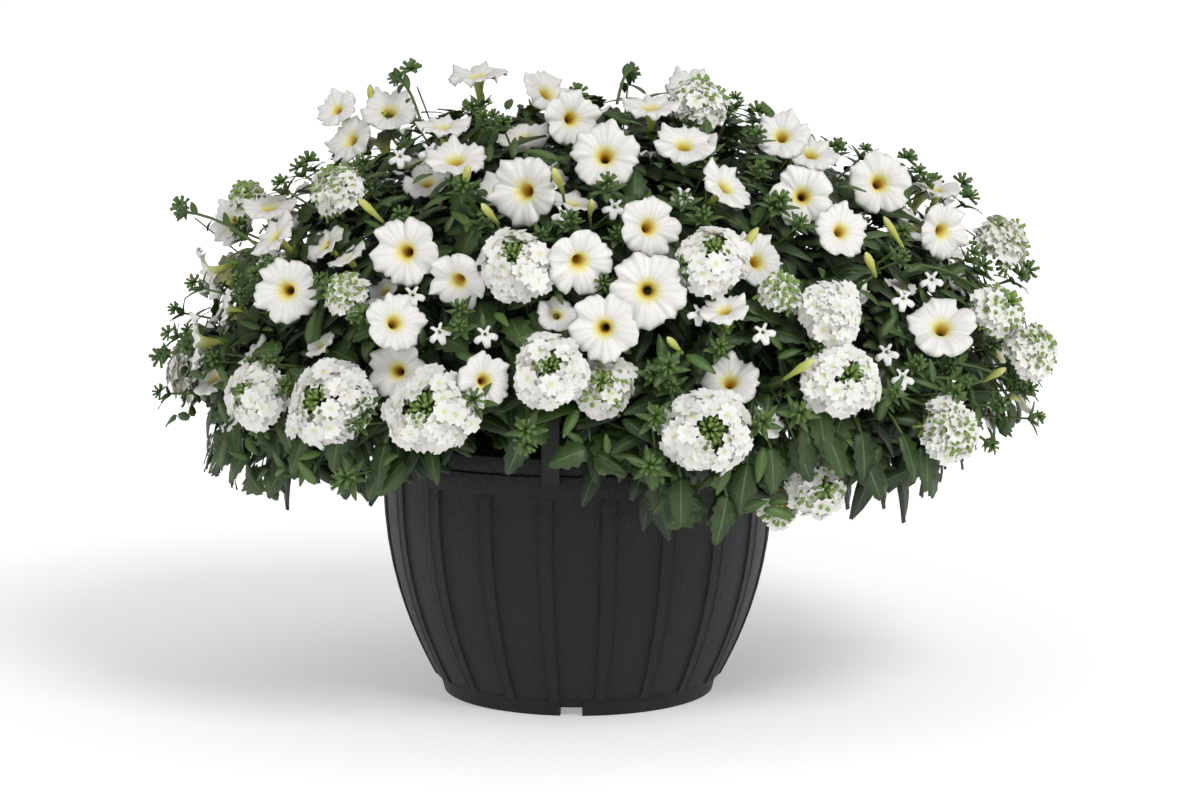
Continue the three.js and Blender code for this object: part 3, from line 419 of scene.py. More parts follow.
# radius, height and share of the fluting of each ring, in mm, from under the floor to its top
UNDERSIDE = [(60, 5, 0), (98.6, 5, 0), (99, 12.6, 0), (109, 12.6, 0), (109.3, 13.2, 0.2), (112.4, 13.4, 0.4)]
WALL_HEIGHTS = (13.9, 16, 22, 30, 40, 52, 66, 82, 100, 120, 140, 156, 168, 172.6)
BAND = [(151.4, 173.6, 0.5), (152.2, 174.0, 0), (152.9, 174.5, 0), (BAND_R, 175.2, 0), (BAND_R, 188.6, 0),
        (152.8, 189.4, 0)]
GROOVE = [(151.2, 189.8, 0), (150.9, 190.3, 0), (151.6, 190.8, 0), (151.8, 191.6, 0)]
LIP = [(151.8, 201.6, 0), (151.3, 202.6, 0), (150.3, 203, 0), (147.4, 203, 0), (146.6, 202.5, 0),
       (146.4, 200, 0), (146.8, 176, 0)]
INSIDE_HEIGHTS = (150, 110, 70, 40, 20)
FLOOR = [(102, 9.4, 0), (60, 9, 0)]


def barrel_radius(z):
    return BAND_R - 48 * (1 - z / BARREL_TOP) ** 2.2 - 1.4 * z / BARREL_TOP


def pot_profile():
    wall = [(barrel_radius(z), z, 1) for z in WALL_HEIGHTS]
    inside = [(barrel_radius(z) - WALL, z, 0) for z in INSIDE_HEIGHTS]
    return UNDERSIDE + wall + BAND + GROOVE + LIP + inside + FLOOR


print("rings of the pot", len(pot_profile()), "points in each", STAVES * len(STAVE))


# %% The pot's wall
def build_pot():
    bm = bmesh.new()
    profile = pot_profile()
    start = math.radians(FRONT_DEG + STAVE[0][0] - 0.4)
    for k, turns, loop in rings(bm, STAVES * len(STAVE), len(profile)):
        radius, z, fluted = profile[k]
        for i, v in enumerate(sorted(turns, key=lambda v: (turns[v] - start) % math.tau)):
            turn, sink = STAVE[i % len(STAVE)]
            a = math.radians(FRONT_DEG + STAVE_DEG * (i // len(STAVE)) + turn)
            r = (radius - sink * fluted) * MM
            v.co = Vector((r * math.cos(a), r * math.sin(a), z * MM))
    close_ends(bm, loop)
    return bm


pot = build_pot()
print("faces of the wall", len(pot.faces))

# %% The foot ring, and the finished pot
FOOT_TOP = 12.7
NOTCH_TOP = 7.5
NOTCH_DEG = -2.6  # the front notch, from the front's middle
NOTCH_HALF = 4.6
SHARP_DEG = 28


def foot_arc(bm, start, end, low):
    """A closed stretch of the foot ring from one angle to another, spun from its section."""
    section = [(105.4, low), (108.6, FOOT_TOP), (99.2, FOOT_TOP), (99.2, low)]
    verts = [bm.verts.new((r * MM, 0, z * MM)) for r, z in section]
    bmesh.ops.rotate(bm, verts=verts, matrix=Matrix.Rotation(math.radians(start), 3, "Z"))
    face = bm.faces.new(verts)
    bmesh.ops.spin(bm, geom=[face], axis=UP, cent=(0, 0, 0), angle=math.radians(end - start), steps=26)


for k in range(4):
    notch = -90 + NOTCH_DEG + 90 * k
    foot_arc(pot, notch + NOTCH_HALF, notch + 90 - NOTCH_HALF, 0)
    foot_arc(pot, notch - NOTCH_HALF, notch + NOTCH_HALF, NOTCH_TOP)
face_out(pot)
pot_piece = finish_piece(pot, "pot_shell", POT, "pot")
for poly in pot_piece.data.polygons:
    poly.use_smooth = len(poly.vertices) == 4
pot_piece.data.set_sharp_from_angle(angle=math.radians(SHARP_DEG))
print("pot faces", len(pot_piece.data.polygons))

# %% [markdown]
# ## Clips and compost
# The straps that a hanger would hook into are plain mouldings. Modelling them again would gain
# nothing, so a copy of the frame's own mesh gets rounded edges. The compost is nearly hidden. Its
# copy is cut finer and pushed up and down a little, as loose bark lies.


# %% Clips and compost
CLIP_ROUND = 0.0004
SOIL_EDGE = 0.012  # longer edges than this are cut finer
SOIL_RISE = 0.0012


def copy_of(name):
    bm = bmesh.new()
    bm.from_mesh(NODES[name].data)
    bmesh.ops.remove_doubles(bm, verts=bm.verts[:], dist=1e-6)
    return bm


def rounded_clip(name):
    bm = copy_of(name)
    bmesh.ops.dissolve_limit(bm, angle_limit=math.radians(2), verts=bm.verts[:], edges=bm.edges[:])
    corners = [e for e in bm.edges if len(e.link_faces) == 2 and e.calc_face_angle(0) > 0.6]
    bmesh.ops.bevel(bm, geom=corners, offset=CLIP_ROUND, segments=2, profile=0.5, affect="EDGES", material=-1)
    return bm


def loose_soil():
    bm = copy_of("soil")
    bmesh.ops.triangulate(bm, faces=bm.faces[:])
    long = [e for e in bm.edges if e.calc_length() > SOIL_EDGE and min(v.co.z for v in e.verts) > 0.17]
    bmesh.ops.subdivide_edges(bm, edges=long, cuts=3, use_grid_fill=True)
    bmesh.ops.triangulate(bm, faces=bm.faces[:])
    for v in bm.verts:
        if v.co.z > 0.174 and math.hypot(v.co.x, v.co.y) < 0.14:
            v.co.z += SOIL_RISE * noise.noise(v.co * 300)
    return bm


clips = [n for n in NODES if n.startswith("rim_clip")]
for name in clips:
    finish_piece(rounded_clip(name), name + "_strap", CLIP, name, smooth=False)
soil_piece = finish_piece(loose_soil(), "compost", SOIL, "soil")
print("clips", len(clips), "compost faces", len(soil_piece.data.polygons))

# %% [markdown]
# ## Where every bloom grows
# The planting follows one rule. Each bloom of the front has a place in the upright plane through
# the pot, as seen from the eye, and a depth at which it is clear of the others. Those of the back
# are spread evenly. The frame was planted by the same rule. So the script tries each depth and
# keeps the one at which the frame has that bloom's marking point, which also tells which node
# the bloom belongs to. Measuring the blooms' forms would work too, but it is slower to get right.

# %% The planting rule
DOME = dict(cx=20, cz=225, ax=340, ay=255, az=245)  # middle and half widths of the dome, in mm
CENTRE = Vector((DOME["cx"], 0, DOME["cz"]))
REACH = Vector((DOME["ax"], DOME["ay"], DOME["az"]))
EYE = Vector((17, -2317, 543))
# place across and up, the way it faces as azimuth and elevation in degrees, and the width
PETUNIAS = [
    (-226, 311, -10, 5, 48), (-134, 341, -12, 5, 50), (-94, 317, -20, -15, 43), (2, 332, 15, -12, 48),
    (54, 311, 0, 5, 55), (20, 282, -5, 5, 49), (56, 361, 20, 15, 45), (-43, 388, -25, 5, 52),
    (21, 416, 0, 20, 50), (-4, 444, 20, 10, 43), (-22, 465, 40, 40, 43), (-77, 479, -20, 75, 46),
    (-94, 415, 0, 60, 46), (56, 455, 0, 72, 43), (82, 426, 10, 55, 45), (116, 393, 50, 40, 43),
    (157, 432, 0, 35, 42), (180, 419, 20, 55, 41), (173, 384, 0, 8, 46), (233, 395, 10, 15, 48),
    (204, 358, 20, 20, 41), (283, 357, 30, 0, 43), (282, 284, 0, 35, 50), (140, 335, 30, 25, 43),
    (118, 242, 0, 40, 43), (-141, 287, 20, 20, 43), (-141, 248, -12, 8, 43), (-72, 241, 20, 10, 39),
    (-268, 365, -35, 20, 41), (-236, 355, -60, 40, 41), (-238, 378, -10, 70, 42), (-288, 323, -75, -20, 43),
    (-274, 298, -80, 10, 28), (-298, 271, -85, 0, 43), (-176, 429, -40, 30, 42), (-145, 451, 0, 45, 43),
    (-186, 452, -30, 35, 34), (-103, 440, 0, 75, 41), (276, 392, 20, 75, 39), (86, 470, 0, 50, 38),
    (113, 298, -20, 60, 35),
]
# place across and up, the width, and how far behind the dome's front it stands
HEADS = [
    (-185, 389, 43, 0), (-48, 331, 55, 0), (103, 335, 52, 0), (93, 455, 46, 0), (196, 293, 49, 0),
    (205, 241, 55, 0), (327, 348, 46, -20), (325, 295, 43, -30), (352, 264, 41, -65), (289, 202, 45, 0),
    (100, 201, 62, 0), (185, 158, 45, 40), (-21, 248, 52, 0), (19, 237, 45, 0), (-114, 217, 63, 0),
    (-193, 223, 63, 0), (-250, 229, 49, 0), (-179, 309, 31, 0), (155, 142, 30, 50),
    (157, 311, 28, 0), (-255, 383, 28, 0),
]
OPEN_HEADS = {1, 2, 5, 7, 10, 11, 12, 13, 14, 15, 16}  # heads whose middle is still in bud
FADED_HEAD = 18
LOBELIAS = [
    (-11, 370), (28, 376), (81, 385), (-128, 308), (-108, 279), (-72, 277), (-137, 415), (-114, 419),
    (143, 279), (239, 263), (252, 305), (273, 320), (252, 244), (94, 294),
]
LOBELIA_ACROSS = 20
BACK_PETUNIAS = 17
BACK_HEADS, BACK_HEAD_ACROSS = 5, 56
SINKS = [0, 7, -7, 14, -14, 21, -21, 28, -28, 36, 44, 54, 66]
print("blooms of the front", len(PETUNIAS), "petunias", len(HEADS), "heads", len(LOBELIAS), "lobelias")


# %% Places on the dome
def facing(az, el):
    a, e = math.radians(az), math.radians(el)
    return Vector((math.sin(a) * math.cos(e), -math.cos(a) * math.cos(e), math.sin(e)))


def on_dome(u, w, sink=0):
    """Front of the dome on the line of sight through (u, 0, w), moved `sink` mm further away."""
    ray = Vector((u, 0, w)) - EYE
    ray.normalize()
    scale = Vector((1 / DOME["ax"], 1 / DOME["ay"], 1 / DOME["az"]))
    start = (EYE - CENTRE) * scale
    step = ray * scale
    a, b, c = step.dot(step), start.dot(step), start.dot(start) - 1
    root = b * b - a * c
    t = (-b - math.sqrt(root)) / a if root > 0 else -b / a
    return EYE + ray * (t + sink)


def by_angle(az, el, k=1.0):
    return CENTRE + facing(az, el) * REACH * k


def outward(p):
    """The dome's outward direction at p, leaning up a little as plants do."""
    q = p - CENTRE
    return Vector((q.x / DOME["ax"] ** 2, q.y / DOME["ay"] ** 2, (q.z + 40) / DOME["az"] ** 2)).normalized()


def back_place(i, n, shift):
    """Azimuth and elevation of the i-th of n blooms that are spread over the back."""
    turn = ((i + 1) * GOLDEN_SHARE + shift) % 1
    return 180 + 172 * (turn - 0.5), math.degrees(math.asin(0.93 * (i + 0.5) / n - 0.02))


print("the dome's front", [round(c) for c in on_dome(0, DOME["cz"])])


# %% All the blooms, in the frame's order
def flower(kind, across, at, n, spin):
    return dict(kind=kind, across=across, at=at, n=n.normalized(), spin=spin)


def in_front(u, w, sink=0):
    return lambda extra: on_dome(u, w, sink + extra)


def at_back(az, el):
    return lambda extra: by_angle(az + 0.5 * extra, el)


def all_heads():
    for i, (u, w, across, sink) in enumerate(HEADS):
        at = in_front(u, w, sink)
        yield flower("verbena", across, at, outward(at(0)), 360 * draw(i, 3))
    for i in range(BACK_HEADS):
        at = at_back(*back_place(i, BACK_HEADS, 0.31))
        yield flower("verbena", BACK_HEAD_ACROSS, at, outward(at(0)), 360 * draw(i, 4))


def all_petunias():
    for i, (u, w, az, el, across) in enumerate(PETUNIAS):
        yield flower("petunia", across, in_front(u, w), facing(az, el), 72 * draw(i, 5))
    for i in range(BACK_PETUNIAS):
        at = at_back(*back_place(i, BACK_PETUNIAS, 0))
        n = outward(at(0)) + UP * 0.3 * (draw(i, 6) - 0.3)
        yield flower("petunia", 46 + 6 * draw(i, 7), at, n, 72 * draw(i, 8))


def all_lobelias():
    for i, (u, w) in enumerate(LOBELIAS):
        n = facing(40 * (draw(i, 9) - 0.5), 20 * draw(i, 10))
        yield flower("lobelia", LOBELIA_ACROSS, in_front(u, w, 4), n, 30 * (draw(i, 11) - 0.5))


# %% Match the rule to the frame
PLANTS = sorted(n for n in NODES if "spray" in n or "shoot" in n)
MARK = {"petunia": -0.35, "verbena": 0.44, "lobelia": 0.06}  # height of the marking point over its width
points = [(v.co, name) for name in PLANTS for v in NODES[name].data.vertices]
tree = kdtree.KDTree(len(points))
for index, (co, _) in enumerate(points):
    tree.insert(co, index)
tree.balance()


def matched(item):
    """The bloom's gap to the frame, its node and its place, at the depth that fits best."""
    tries = []
    for extra in SINKS:
        p = item["at"](extra)
        mark = (p + item["n"] * MARK[item["kind"]] * item["across"]) * MM
        _, index, gap = tree.find(mark)
        tries.append((gap, points[index][1], p * MM))
    return min(tries, key=lambda one: one[0])


flowers = [*all_heads(), *all_petunias(), *all_lobelias()]
for item in flowers:
    item["gap"], item["node"], item["p"] = matched(item)
    item["size"] = item["across"] * MM
print("flowers", len(flowers), "worst match in mm", round(max(i["gap"] for i in flowers) / MM, 3))

# %% [markdown]
# ## Blooms, drawn once
# A petunia is one thin sheet: a narrow tube that flares into five fused lobes with a crinkled edge.
# One petal could be modelled and turned five times, but real lobes have no seams between them. So a
# circle is extruded outward through a row of rings, and each ring's points are moved by their
# angle. Solidify then gives the sheet two sides. Verbena florets and lobelias are the same idea
# with fewer rings, since they are small and there are hundreds of them.


# %% A sheet of rings
def sheet(count, levels, shape):
    """Rings (radius, height) about +Z, their points moved by shape(angle, t, radius).

    Each point's angle and t, its share of the way out, come back with the sheet.
    """
    bm = bmesh.new()
    place = {}
    for k, turns, _ in rings(bm, count, len(levels)):
        radius, z = levels[k]
        t = k / (len(levels) - 1)
        for v, a in turns.items():
            r, rise = shape(a, t, radius)
            v.co = Vector((r * math.cos(a), r * math.sin(a), z + rise))
            place[v] = (a, t)
    return bm, place


def map_face(face, uv, place, outside=0):
    """Maps a face by the angles of its points, all on one side of the seam, and their way out."""
    first = place[face.loops[0].vert][0] / math.tau
    for corner in face.loops:
        a, out = place[corner.vert]
        u = a / math.tau
        corner[uv].uv = (u + round(first - u), out + outside)


def mark_outside(bm, uv):
    """Adds 2 to the map's v on the faces that look away from the bloom's axis or down."""
    for f in bm.faces:
        middle = f.calc_center_median()
        inward = Vector((-middle.x, -middle.y, 0)).normalized()
        if f.normal.dot(inward + UP) <= 0:
            for corner in f.loops:
                corner[uv].uv.y = corner[uv].uv.y % 2 + 2


def drawn(count, levels, shape, thick):
    """The sheet closed at its foot, mapped, and given two sides."""
    bm, place = sheet(count, levels, shape)
    uv = bm.loops.layers.uv.new("bloom")
    foot = [e for e in bm.edges if e.is_boundary and place[e.verts[0]][1] == 0]
    bmesh.ops.contextual_create(bm, geom=foot)
    face_out(bm)
    if sum(f.normal.z for f in bm.faces) < 0:
        bmesh.ops.reverse_faces(bm, faces=bm.faces[:])
    for f in bm.faces:
        map_face(f, uv, place)
    bmesh.ops.solidify(bm, geom=bm.faces[:], thickness=thick)
    mark_outside(bm, uv)
    return as_mesh(bm, "drawn")


# %% Petunias
# radius and height of each ring over the bloom's width, from the foot of the tube to the edge
PETUNIA_LEVELS = [(0.026, -0.62), (0.034, -0.5), (0.046, -0.38), (0.062, -0.27), (0.085, -0.18),
                  (0.12, -0.115), (0.175, -0.068), (0.25, -0.036), (0.33, -0.016), (0.405, -0.006),
                  (0.465, -0.004), (0.505, -0.016)]
FLARE_FROM = 0.45  # share of the rings that make the tube


def dip(a, half, lobes=5):
    """1 in the notch between two lobes, falling to 0 away from it."""
    off = (a * lobes / math.tau + 0.5) % 1 - 0.5
    return math.exp(-((off * 360 / lobes) / half) ** 2)


def petunia_mesh(seed, count=60):
    """Five fused lobes. The seed moves the ripples of the edge and the side that curls back."""
    def shape(a, t, radius):
        flare = max(0.0, (t - FLARE_FROM) / (1 - FLARE_FROM))
        lobe = 1 - 0.13 * dip(a, 6) * flare ** 4 - 0.06 * dip(a, 17) * flare
        wave = (0.022 * math.sin(17 * a + 3 * seed) + 0.026 * math.sin(11 * a + seed)
                + 0.026 * math.sin(7 * a + 2 * seed) + 0.012 * math.sin(23 * a))
        fold = dip(a, 7) * math.sin(math.pi * min(1, flare * 0.85))
        crease = 0.016 * math.cos(5 * a + math.pi) * flare - 0.045 * fold
        curl = -0.035 * flare ** 4 * (1 + math.sin(2 * a + 2 * seed))
        return radius * lobe * (1 + 0.9 * wave * flare), wave * flare ** 2 * 1.3 + crease + curl

    return drawn(count, PETUNIA_LEVELS, shape, 0.012)


# %% Verbena florets and lobelias
FLORET_LEVELS = [(0.05, -0.24, 0.0), (0.5, 0.0, 1.0), (0.1, -0.06, 0.25)]  # radius, height, map's v
FLORET_EDGE = 1  # the level that is cut into petals
PETAL_EDGE = [0.68, 1.0, 0.88, 0.98]  # reach at a notch, a shoulder, a tip and a shoulder
LOBELIA_LEVELS = [(0.03, -0.4), (0.06, -0.1), (0.14, -0.02), (0.34, 0.03), (0.5, 0.0)]
# middle in degrees, reach and half width of each petal: three broad ones below two narrow ones
LOBELIA_PETALS = [(270, 1, 31), (332, 0.95, 30), (208, 0.95, 30), (52, 0.7, 21), (128, 0.7, 21)]


def floret_mesh():
    """Five notched petals over a short tube: closed, and few-sided since there are thousands."""
    bm = bmesh.new()
    uv = bm.loops.layers.uv.new("bloom")
    count = 5 * len(PETAL_EDGE)
    place = {}
    for k, turns, loop in rings(bm, count, len(FLORET_LEVELS)):
        radius, z, out = FLORET_LEVELS[k]
        for v, a in turns.items():
            reach = PETAL_EDGE[round(a / math.tau * count) % 4] if k == FLORET_EDGE else 1.0
            r = radius * reach
            v.co = Vector((r * math.cos(a), r * math.sin(a), z + 0.09 * (1 - reach)))
            place[v] = (a, out)
        if k == FLORET_EDGE:
            for e in loop:
                e.smooth = False
    close_ends(bm, loop)
    face_out(bm)
    for f in bm.faces:
        map_face(f, uv, place, 2 if f.normal.z < 0 else 0)
    return as_mesh(bm, "floret")


def lobelia_mesh():
    def shape(a, t, radius):
        deg = math.degrees(a) % 360
        reach = max(most * math.exp(-(((deg - middle + 180) % 360 - 180) / half) ** 4)
                    for middle, most, half in LOBELIA_PETALS)
        k = 1 if t < 0.3 else max(0.3, reach)
        return radius * k, -0.05 * t * (1 - k)

    return drawn(30, LOBELIA_LEVELS, shape, 0.03)


# %% Leaves and buds
OUT_TOOTH, IN_TOOTH = 1.16, 0.82
SPINDLE_LEVELS = [(0, 0.05), (0.3, 0.07), (0.62, 0.12), (0.85, 0.1), (1.0, 0.03)]  # way along, radius


def blade_width(t, rows, tooth):
    """Half the blade's width at a share t of its length. `tooth` is None on a smooth edge."""
    width = math.sin(math.pi * min(1, t * 0.93 + 0.05) ** 0.8) ** 0.8
    if tooth is None:
        return width * 0.17 + 0.01
    return width * (OUT_TOOTH if round(t * rows) % 2 else IN_TOOTH) * tooth + 0.02


def leaf_mesh(rows, tooth=None):
    """A blade along +X, folded at its midrib, its base at the origin and its length 1."""
    bm = bmesh.new()
    uv = bm.loops.layers.uv.new("bloom")
    bmesh.ops.create_grid(bm, x_segments=rows, y_segments=2, size=0.5)
    flat = {}
    for v in bm.verts:
        t, side = v.co.x + 0.5, v.co.y * 2
        width = blade_width(t, rows, tooth)
        flat[v] = (t, side * 0.5 + 0.5)
        v.co = Vector((t, side * width, -0.22 * t * t + 0.3 * width * abs(side) - 0.05 * abs(side)))
    for f in bm.faces:
        for corner in f.loops:
            corner[uv].uv = flat[corner.vert]
    bmesh.ops.solidify(bm, geom=bm.faces[:], thickness=0.016)
    face_out(bm)
    return as_mesh(bm, "leaf")


def golden(i, count, reach, extra=0.0):
    """The i-th of `count` directions spread evenly over a ball's top, and its turn.

    A reach of 1 covers half the ball. Each direction is one golden angle further round.
    """
    h = 1 - reach * (i + 0.5) / count
    a = GOLDEN_TURN * i + extra
    wide = math.sqrt(1 - h * h)
    return Vector((wide * math.cos(a), wide * math.sin(a), h)), a


def bud_mesh(count, thick, reach):
    """A cluster of club-shaped green buds that radiate from the origin, out to a distance of 1."""
    bm = bmesh.new()
    bm.loops.layers.uv.new("bloom")
    for i in range(count):
        d, _ = golden(i, count, reach)
        place = Matrix.Translation(d * 0.55) @ UP.rotation_difference(d).to_matrix().to_4x4()
        bmesh.ops.create_cone(bm, cap_ends=True, segments=4, radius1=0.6 * thick, radius2=thick,
                              depth=0.9, matrix=place)
    face_out(bm)
    return as_mesh(bm, "buds")


def spindle_mesh():
    """A closed petunia bud along +X: a slim spindle, mapped as the outside of a bloom."""
    bm = bmesh.new()
    uv = bm.loops.layers.uv.new("bloom")
    angle_of = {}
    for k, turns, loop in rings(bm, 6, len(SPINDLE_LEVELS)):
        x, radius = SPINDLE_LEVELS[k]
        for v, a in turns.items():
            v.co = Vector((x, radius * math.cos(a), radius * math.sin(a)))
        angle_of.update(turns)
    close_ends(bm, loop)
    face_out(bm)
    for f in bm.faces:
        for corner in f.loops:
            corner[uv].uv = (angle_of[corner.vert] / math.tau, 2.1 + 0.3 * corner.vert.co.x)
    return as_mesh(bm, "spindle")


# %% Draw them
PETUNIA_MESHES = [petunia_mesh(seed) for seed in range(4)]
SMALL_MESHES = [petunia_mesh(seed, 35) for seed in (4, 5, 6)]
FLORET, LOBELIA_MESH = floret_mesh(), lobelia_mesh()
LANCE, TOOTHED, HANGING = leaf_mesh(5), leaf_mesh(8, 0.34), leaf_mesh(10, 0.25)
BUDS, CROWN = bud_mesh(12, 0.17, 1.3), bud_mesh(30, 0.1, 0.75)
SPINDLE = spindle_mesh()
for label, one in (("petunia", PETUNIA_MESHES[0]), ("floret", FLORET), ("lance leaf", LANCE),
                   ("toothed leaf", TOOTHED), ("buds", BUDS)):
    print(label, len(one.polygons), "faces")

# %% [markdown]
# ## Putting a bloom where the frame has one
# Each plant of the frame is one body: a forked stem with its blooms. The real stems are rounder,
# but they run the same way. Drawing them again would need their paths, so a copy of the body is
# kept instead, with its plain blooms cut off and its stem rounded. The blooms come from the drawn
# meshes, turned and scaled to the same place. So each node gets a piece of petals and one of stems.


# %% Adding a drawn mesh to a piece
def tone_layer(bm):
    return bm.verts.layers.float.get("tone") or bm.verts.layers.float.new("tone")


def new_cluster():
    """A mesh with the map and the tone that the materials read."""
    bm = bmesh.new()
    bm.loops.layers.uv.new("bloom")
    tone_layer(bm)
    return bm


def add_mesh(bm, mesh, matrix, tone=0.5):
    """Appends a copy of a drawn mesh at `matrix`, every point of it with the same tone."""
    copy = mesh.copy()
    copy.transform(matrix)
    shade = copy.attributes.new("tone", "FLOAT", "POINT")
    shade.data.foreach_set("value", [tone] * len(copy.vertices))
    bm.from_mesh(copy)
    bpy.data.meshes.remove(copy)


def turned(at, x, z, size):
    """A matrix that sets +X along x and +Z as near z as it goes."""
    x = x.normalized()
    z = (z - x * z.dot(x)).normalized()
    axes = Matrix((x, z.cross(x), z)).transposed().to_4x4()
    return Matrix.Translation(at) @ axes @ Matrix.Scale(size, 4)


def about(at, n, spin, size):
    """A matrix that sets +Z along n, after a spin about it in radians."""
    turn = UP.rotation_difference(n) @ Quaternion(UP, spin)
    return Matrix.Translation(at) @ turn.to_matrix().to_4x4() @ Matrix.Scale(size, 4)


def pose_of(item, size=None):
    return about(item["p"], item["n"], math.radians(item["spin"]), size or item["size"])


# %% Verbena heads
HEAD_FLORET = 17.0 * MM
HEAD_COVER = 1.4  # how much of its ball a head covers: 1 is the outer half
HEAD_FLAT = 0.84
OPEN_FROM = 0.86  # above this height on the ball, an open head still shows its buds
FADED_ABOVE = 0.78  # florets whose draw is above this have withered


def floret_pose(pose, i, seed, d, a, reach):
    """Pose of a head's i-th floret, in the direction d: on an uneven ball, and leaning at random."""
    tilt = Vector([draw(i, seed + k) - 0.5 for k in (1, 2, 6)])
    lean = (d + tilt * 0.85 + UP * 0.6).normalized()
    bulge = 0.98 + 0.09 * math.sin(2 * a + seed) + 0.05 * math.sin(3 * a + 2 * seed)
    place = Vector((d.x * bulge, d.y * bulge, HEAD_FLAT * d.z)) * reach * (0.84 + 0.2 * draw(i, seed + 3))
    size = HEAD_FLORET * (0.88 + 0.24 * draw(i, seed + 4))
    return about(pose @ place, pose.to_3x3() @ lean, CIRCLE * draw(i, seed + 5), size)


def add_head(bm, green, item, seed, is_open, faded):
    """A verbena head: florets all over its outer side, on stalks over a green middle."""
    pose, half = pose_of(item, 1.0), item["size"] / 2
    count = max(14, int(math.tau * half * half * HEAD_COVER / (0.3 * HEAD_FLORET ** 2)))
    reach = half - 0.16 * HEAD_FLORET
    for i in range(count):
        d, a = golden(i, count, HEAD_COVER, 0.5 * draw(i, seed))
        if is_open and d.z > OPEN_FROM:
            continue
        tone = 1.0 if faded and draw(i, seed + 7) > FADED_ABOVE else 0.5
        add_mesh(bm, FLORET, floret_pose(pose, i, seed, d, a, reach), tone)
    add_mesh(green, CROWN, pose @ Matrix.Scale(half * 0.68, 4), 0.3)
    if is_open:
        top = about(pose @ Vector((0, 0, 0.32 * half)), item["n"], 0, 0.44 * half)
        add_mesh(green, CROWN, top, 0.55)


# %% The petals of one plant
PAINT = {"petunia": PETUNIA, "verbena": VERBENA, "lobelia": LOBELIA}


def petals_for(name, items):
    """Makes the piece of petals. The green middles of verbena heads come back, for the stems."""
    kind = name.split("_")[0]
    bm, green = new_cluster(), bmesh.new()
    for item in items:
        index = flowers.index(item)
        if kind == "petunia":
            add_mesh(bm, PETUNIA_MESHES[index % 4], pose_of(item))
        elif kind == "lobelia":
            add_mesh(bm, LOBELIA_MESH, pose_of(item))
        else:
            add_head(bm, green, item, 20 + index, index in OPEN_HEADS, index == FADED_HEAD)
    finish_piece(bm, name + "_petals", PAINT[kind], name)
    return green


# %% What to take off the frame's own stems
STALK_R = 0.0025
# The plain leaf's proportions: the gap between the two middle points of its blade, in metres, and
# over its length, the way from there to the tip, back to the base and up to it.
BLADE_GAP = (0.00178, 0.00182)
TIP_AWAY, BASE_BACK, BASE_UP = 0.6077, 0.42, 0.0388
# The plain bud cluster's: points round its top, how far they are from it, and its half height.
BUD_RIM, BUD_SPAN, BUD_UP = 10, (0.004, 0.0125), 0.0063


def in_plain_bloom(kind, q, size):
    """True if q, as seen from a bloom at the origin, is in the frame's plain form of it."""
    wide = math.hypot(q.x, q.y)
    if kind == "petunia":
        return q.z > -0.62 * size and wide < 0.56 * size
    if kind == "verbena":
        return q.length < 0.53 * size and not (wide < STALK_R and q.z < -0.43 * size)
    return q.z > -0.3 * size and q.length < 0.6 * size


def cut_flowers(bm, items):
    gone = set()
    for item in items:
        back = about(item["p"], item["n"], 0, 1.0).inverted()
        gone |= {v for v in bm.verts if in_plain_bloom(item["kind"], back @ v.co, item["size"])}
    bmesh.ops.delete(bm, geom=list(gone), context="VERTS")


def leaf_at(v, o):
    """The plain leaf whose blade has v and o as its middle points, or None if no leaf has."""
    shared = {e.other_vert(v) for e in v.link_edges} & {e.other_vert(o) for e in o.link_edges}
    if len(shared) < 5:
        return None
    middle = (v.co + o.co) / 2
    along = max((q.co - middle for q in shared), key=lambda way: way.length)
    long = along.length / TIP_AWAY
    z = (v.co - o.co).normalized()
    if z.dot(along) > 0:
        z = -z
    x = (along - z * along.dot(z)).normalized()
    base = middle - x * BASE_BACK * long + z * BASE_UP * long
    rim = [q for q in shared if (q.co - base).dot(x) > 0.15 * long]
    return base, x, z, long, len(rim) >= 6, [v, o] + rim


def leaves_in(bm):
    """Finds each plain leaf: its base, way, face, length, whether it is toothed, and its points."""
    bm.verts.ensure_lookup_table()
    near = kdtree.KDTree(len(bm.verts))
    for i, v in enumerate(bm.verts):
        near.insert(v.co, i)
    near.balance()
    found = []
    for i, v in enumerate(bm.verts):
        for _, j, gap in near.find_range(v.co, BLADE_GAP[1]):
            if j > i and gap >= BLADE_GAP[0]:
                found.append(leaf_at(v, bm.verts[j]))
    return [leaf for leaf in found if leaf]


def buds_in(bm):
    """Finds each plain bud cluster by its top point: its middle, its way up and its points."""
    low, high = BUD_SPAN
    found = []
    for v in bm.verts:
        rim = [e.other_vert(v) for e in v.link_edges]
        if len(rim) == BUD_RIM and all(low < (q.co - v.co).length < high for q in rim):
            middle = sum((q.co for q in rim), Vector()) / BUD_RIM
            n = (v.co - middle).normalized()
            found.append((v.co - n * BUD_UP, n, [v] + rim))
    return found


# %% The stems of one plant
LEAF_GROWTH = 1.04  # the finer leaf is a little longer than the plain one
BUD_SIZE = 0.009


def bare_stem(name, items):
    """The frame's body, bare, with the plain leaves and bud clusters that were taken off it."""
    bm = copy_of(name)
    bm.loops.layers.uv.new("bloom")
    tone_layer(bm)
    leaves, buds = leaves_in(bm), buds_in(bm)
    cut_flowers(bm, items)
    extra = {v for found in leaves + buds for v in found[-1] if v.is_valid}
    bmesh.ops.delete(bm, geom=list(extra), context="VERTS")
    loose = [v for v in bm.verts if not v.link_faces]
    bmesh.ops.delete(bm, geom=loose, context="VERTS")
    bmesh.ops.holes_fill(bm, edges=[e for e in bm.edges if e.is_boundary], sides=0)
    return bm, leaves, buds


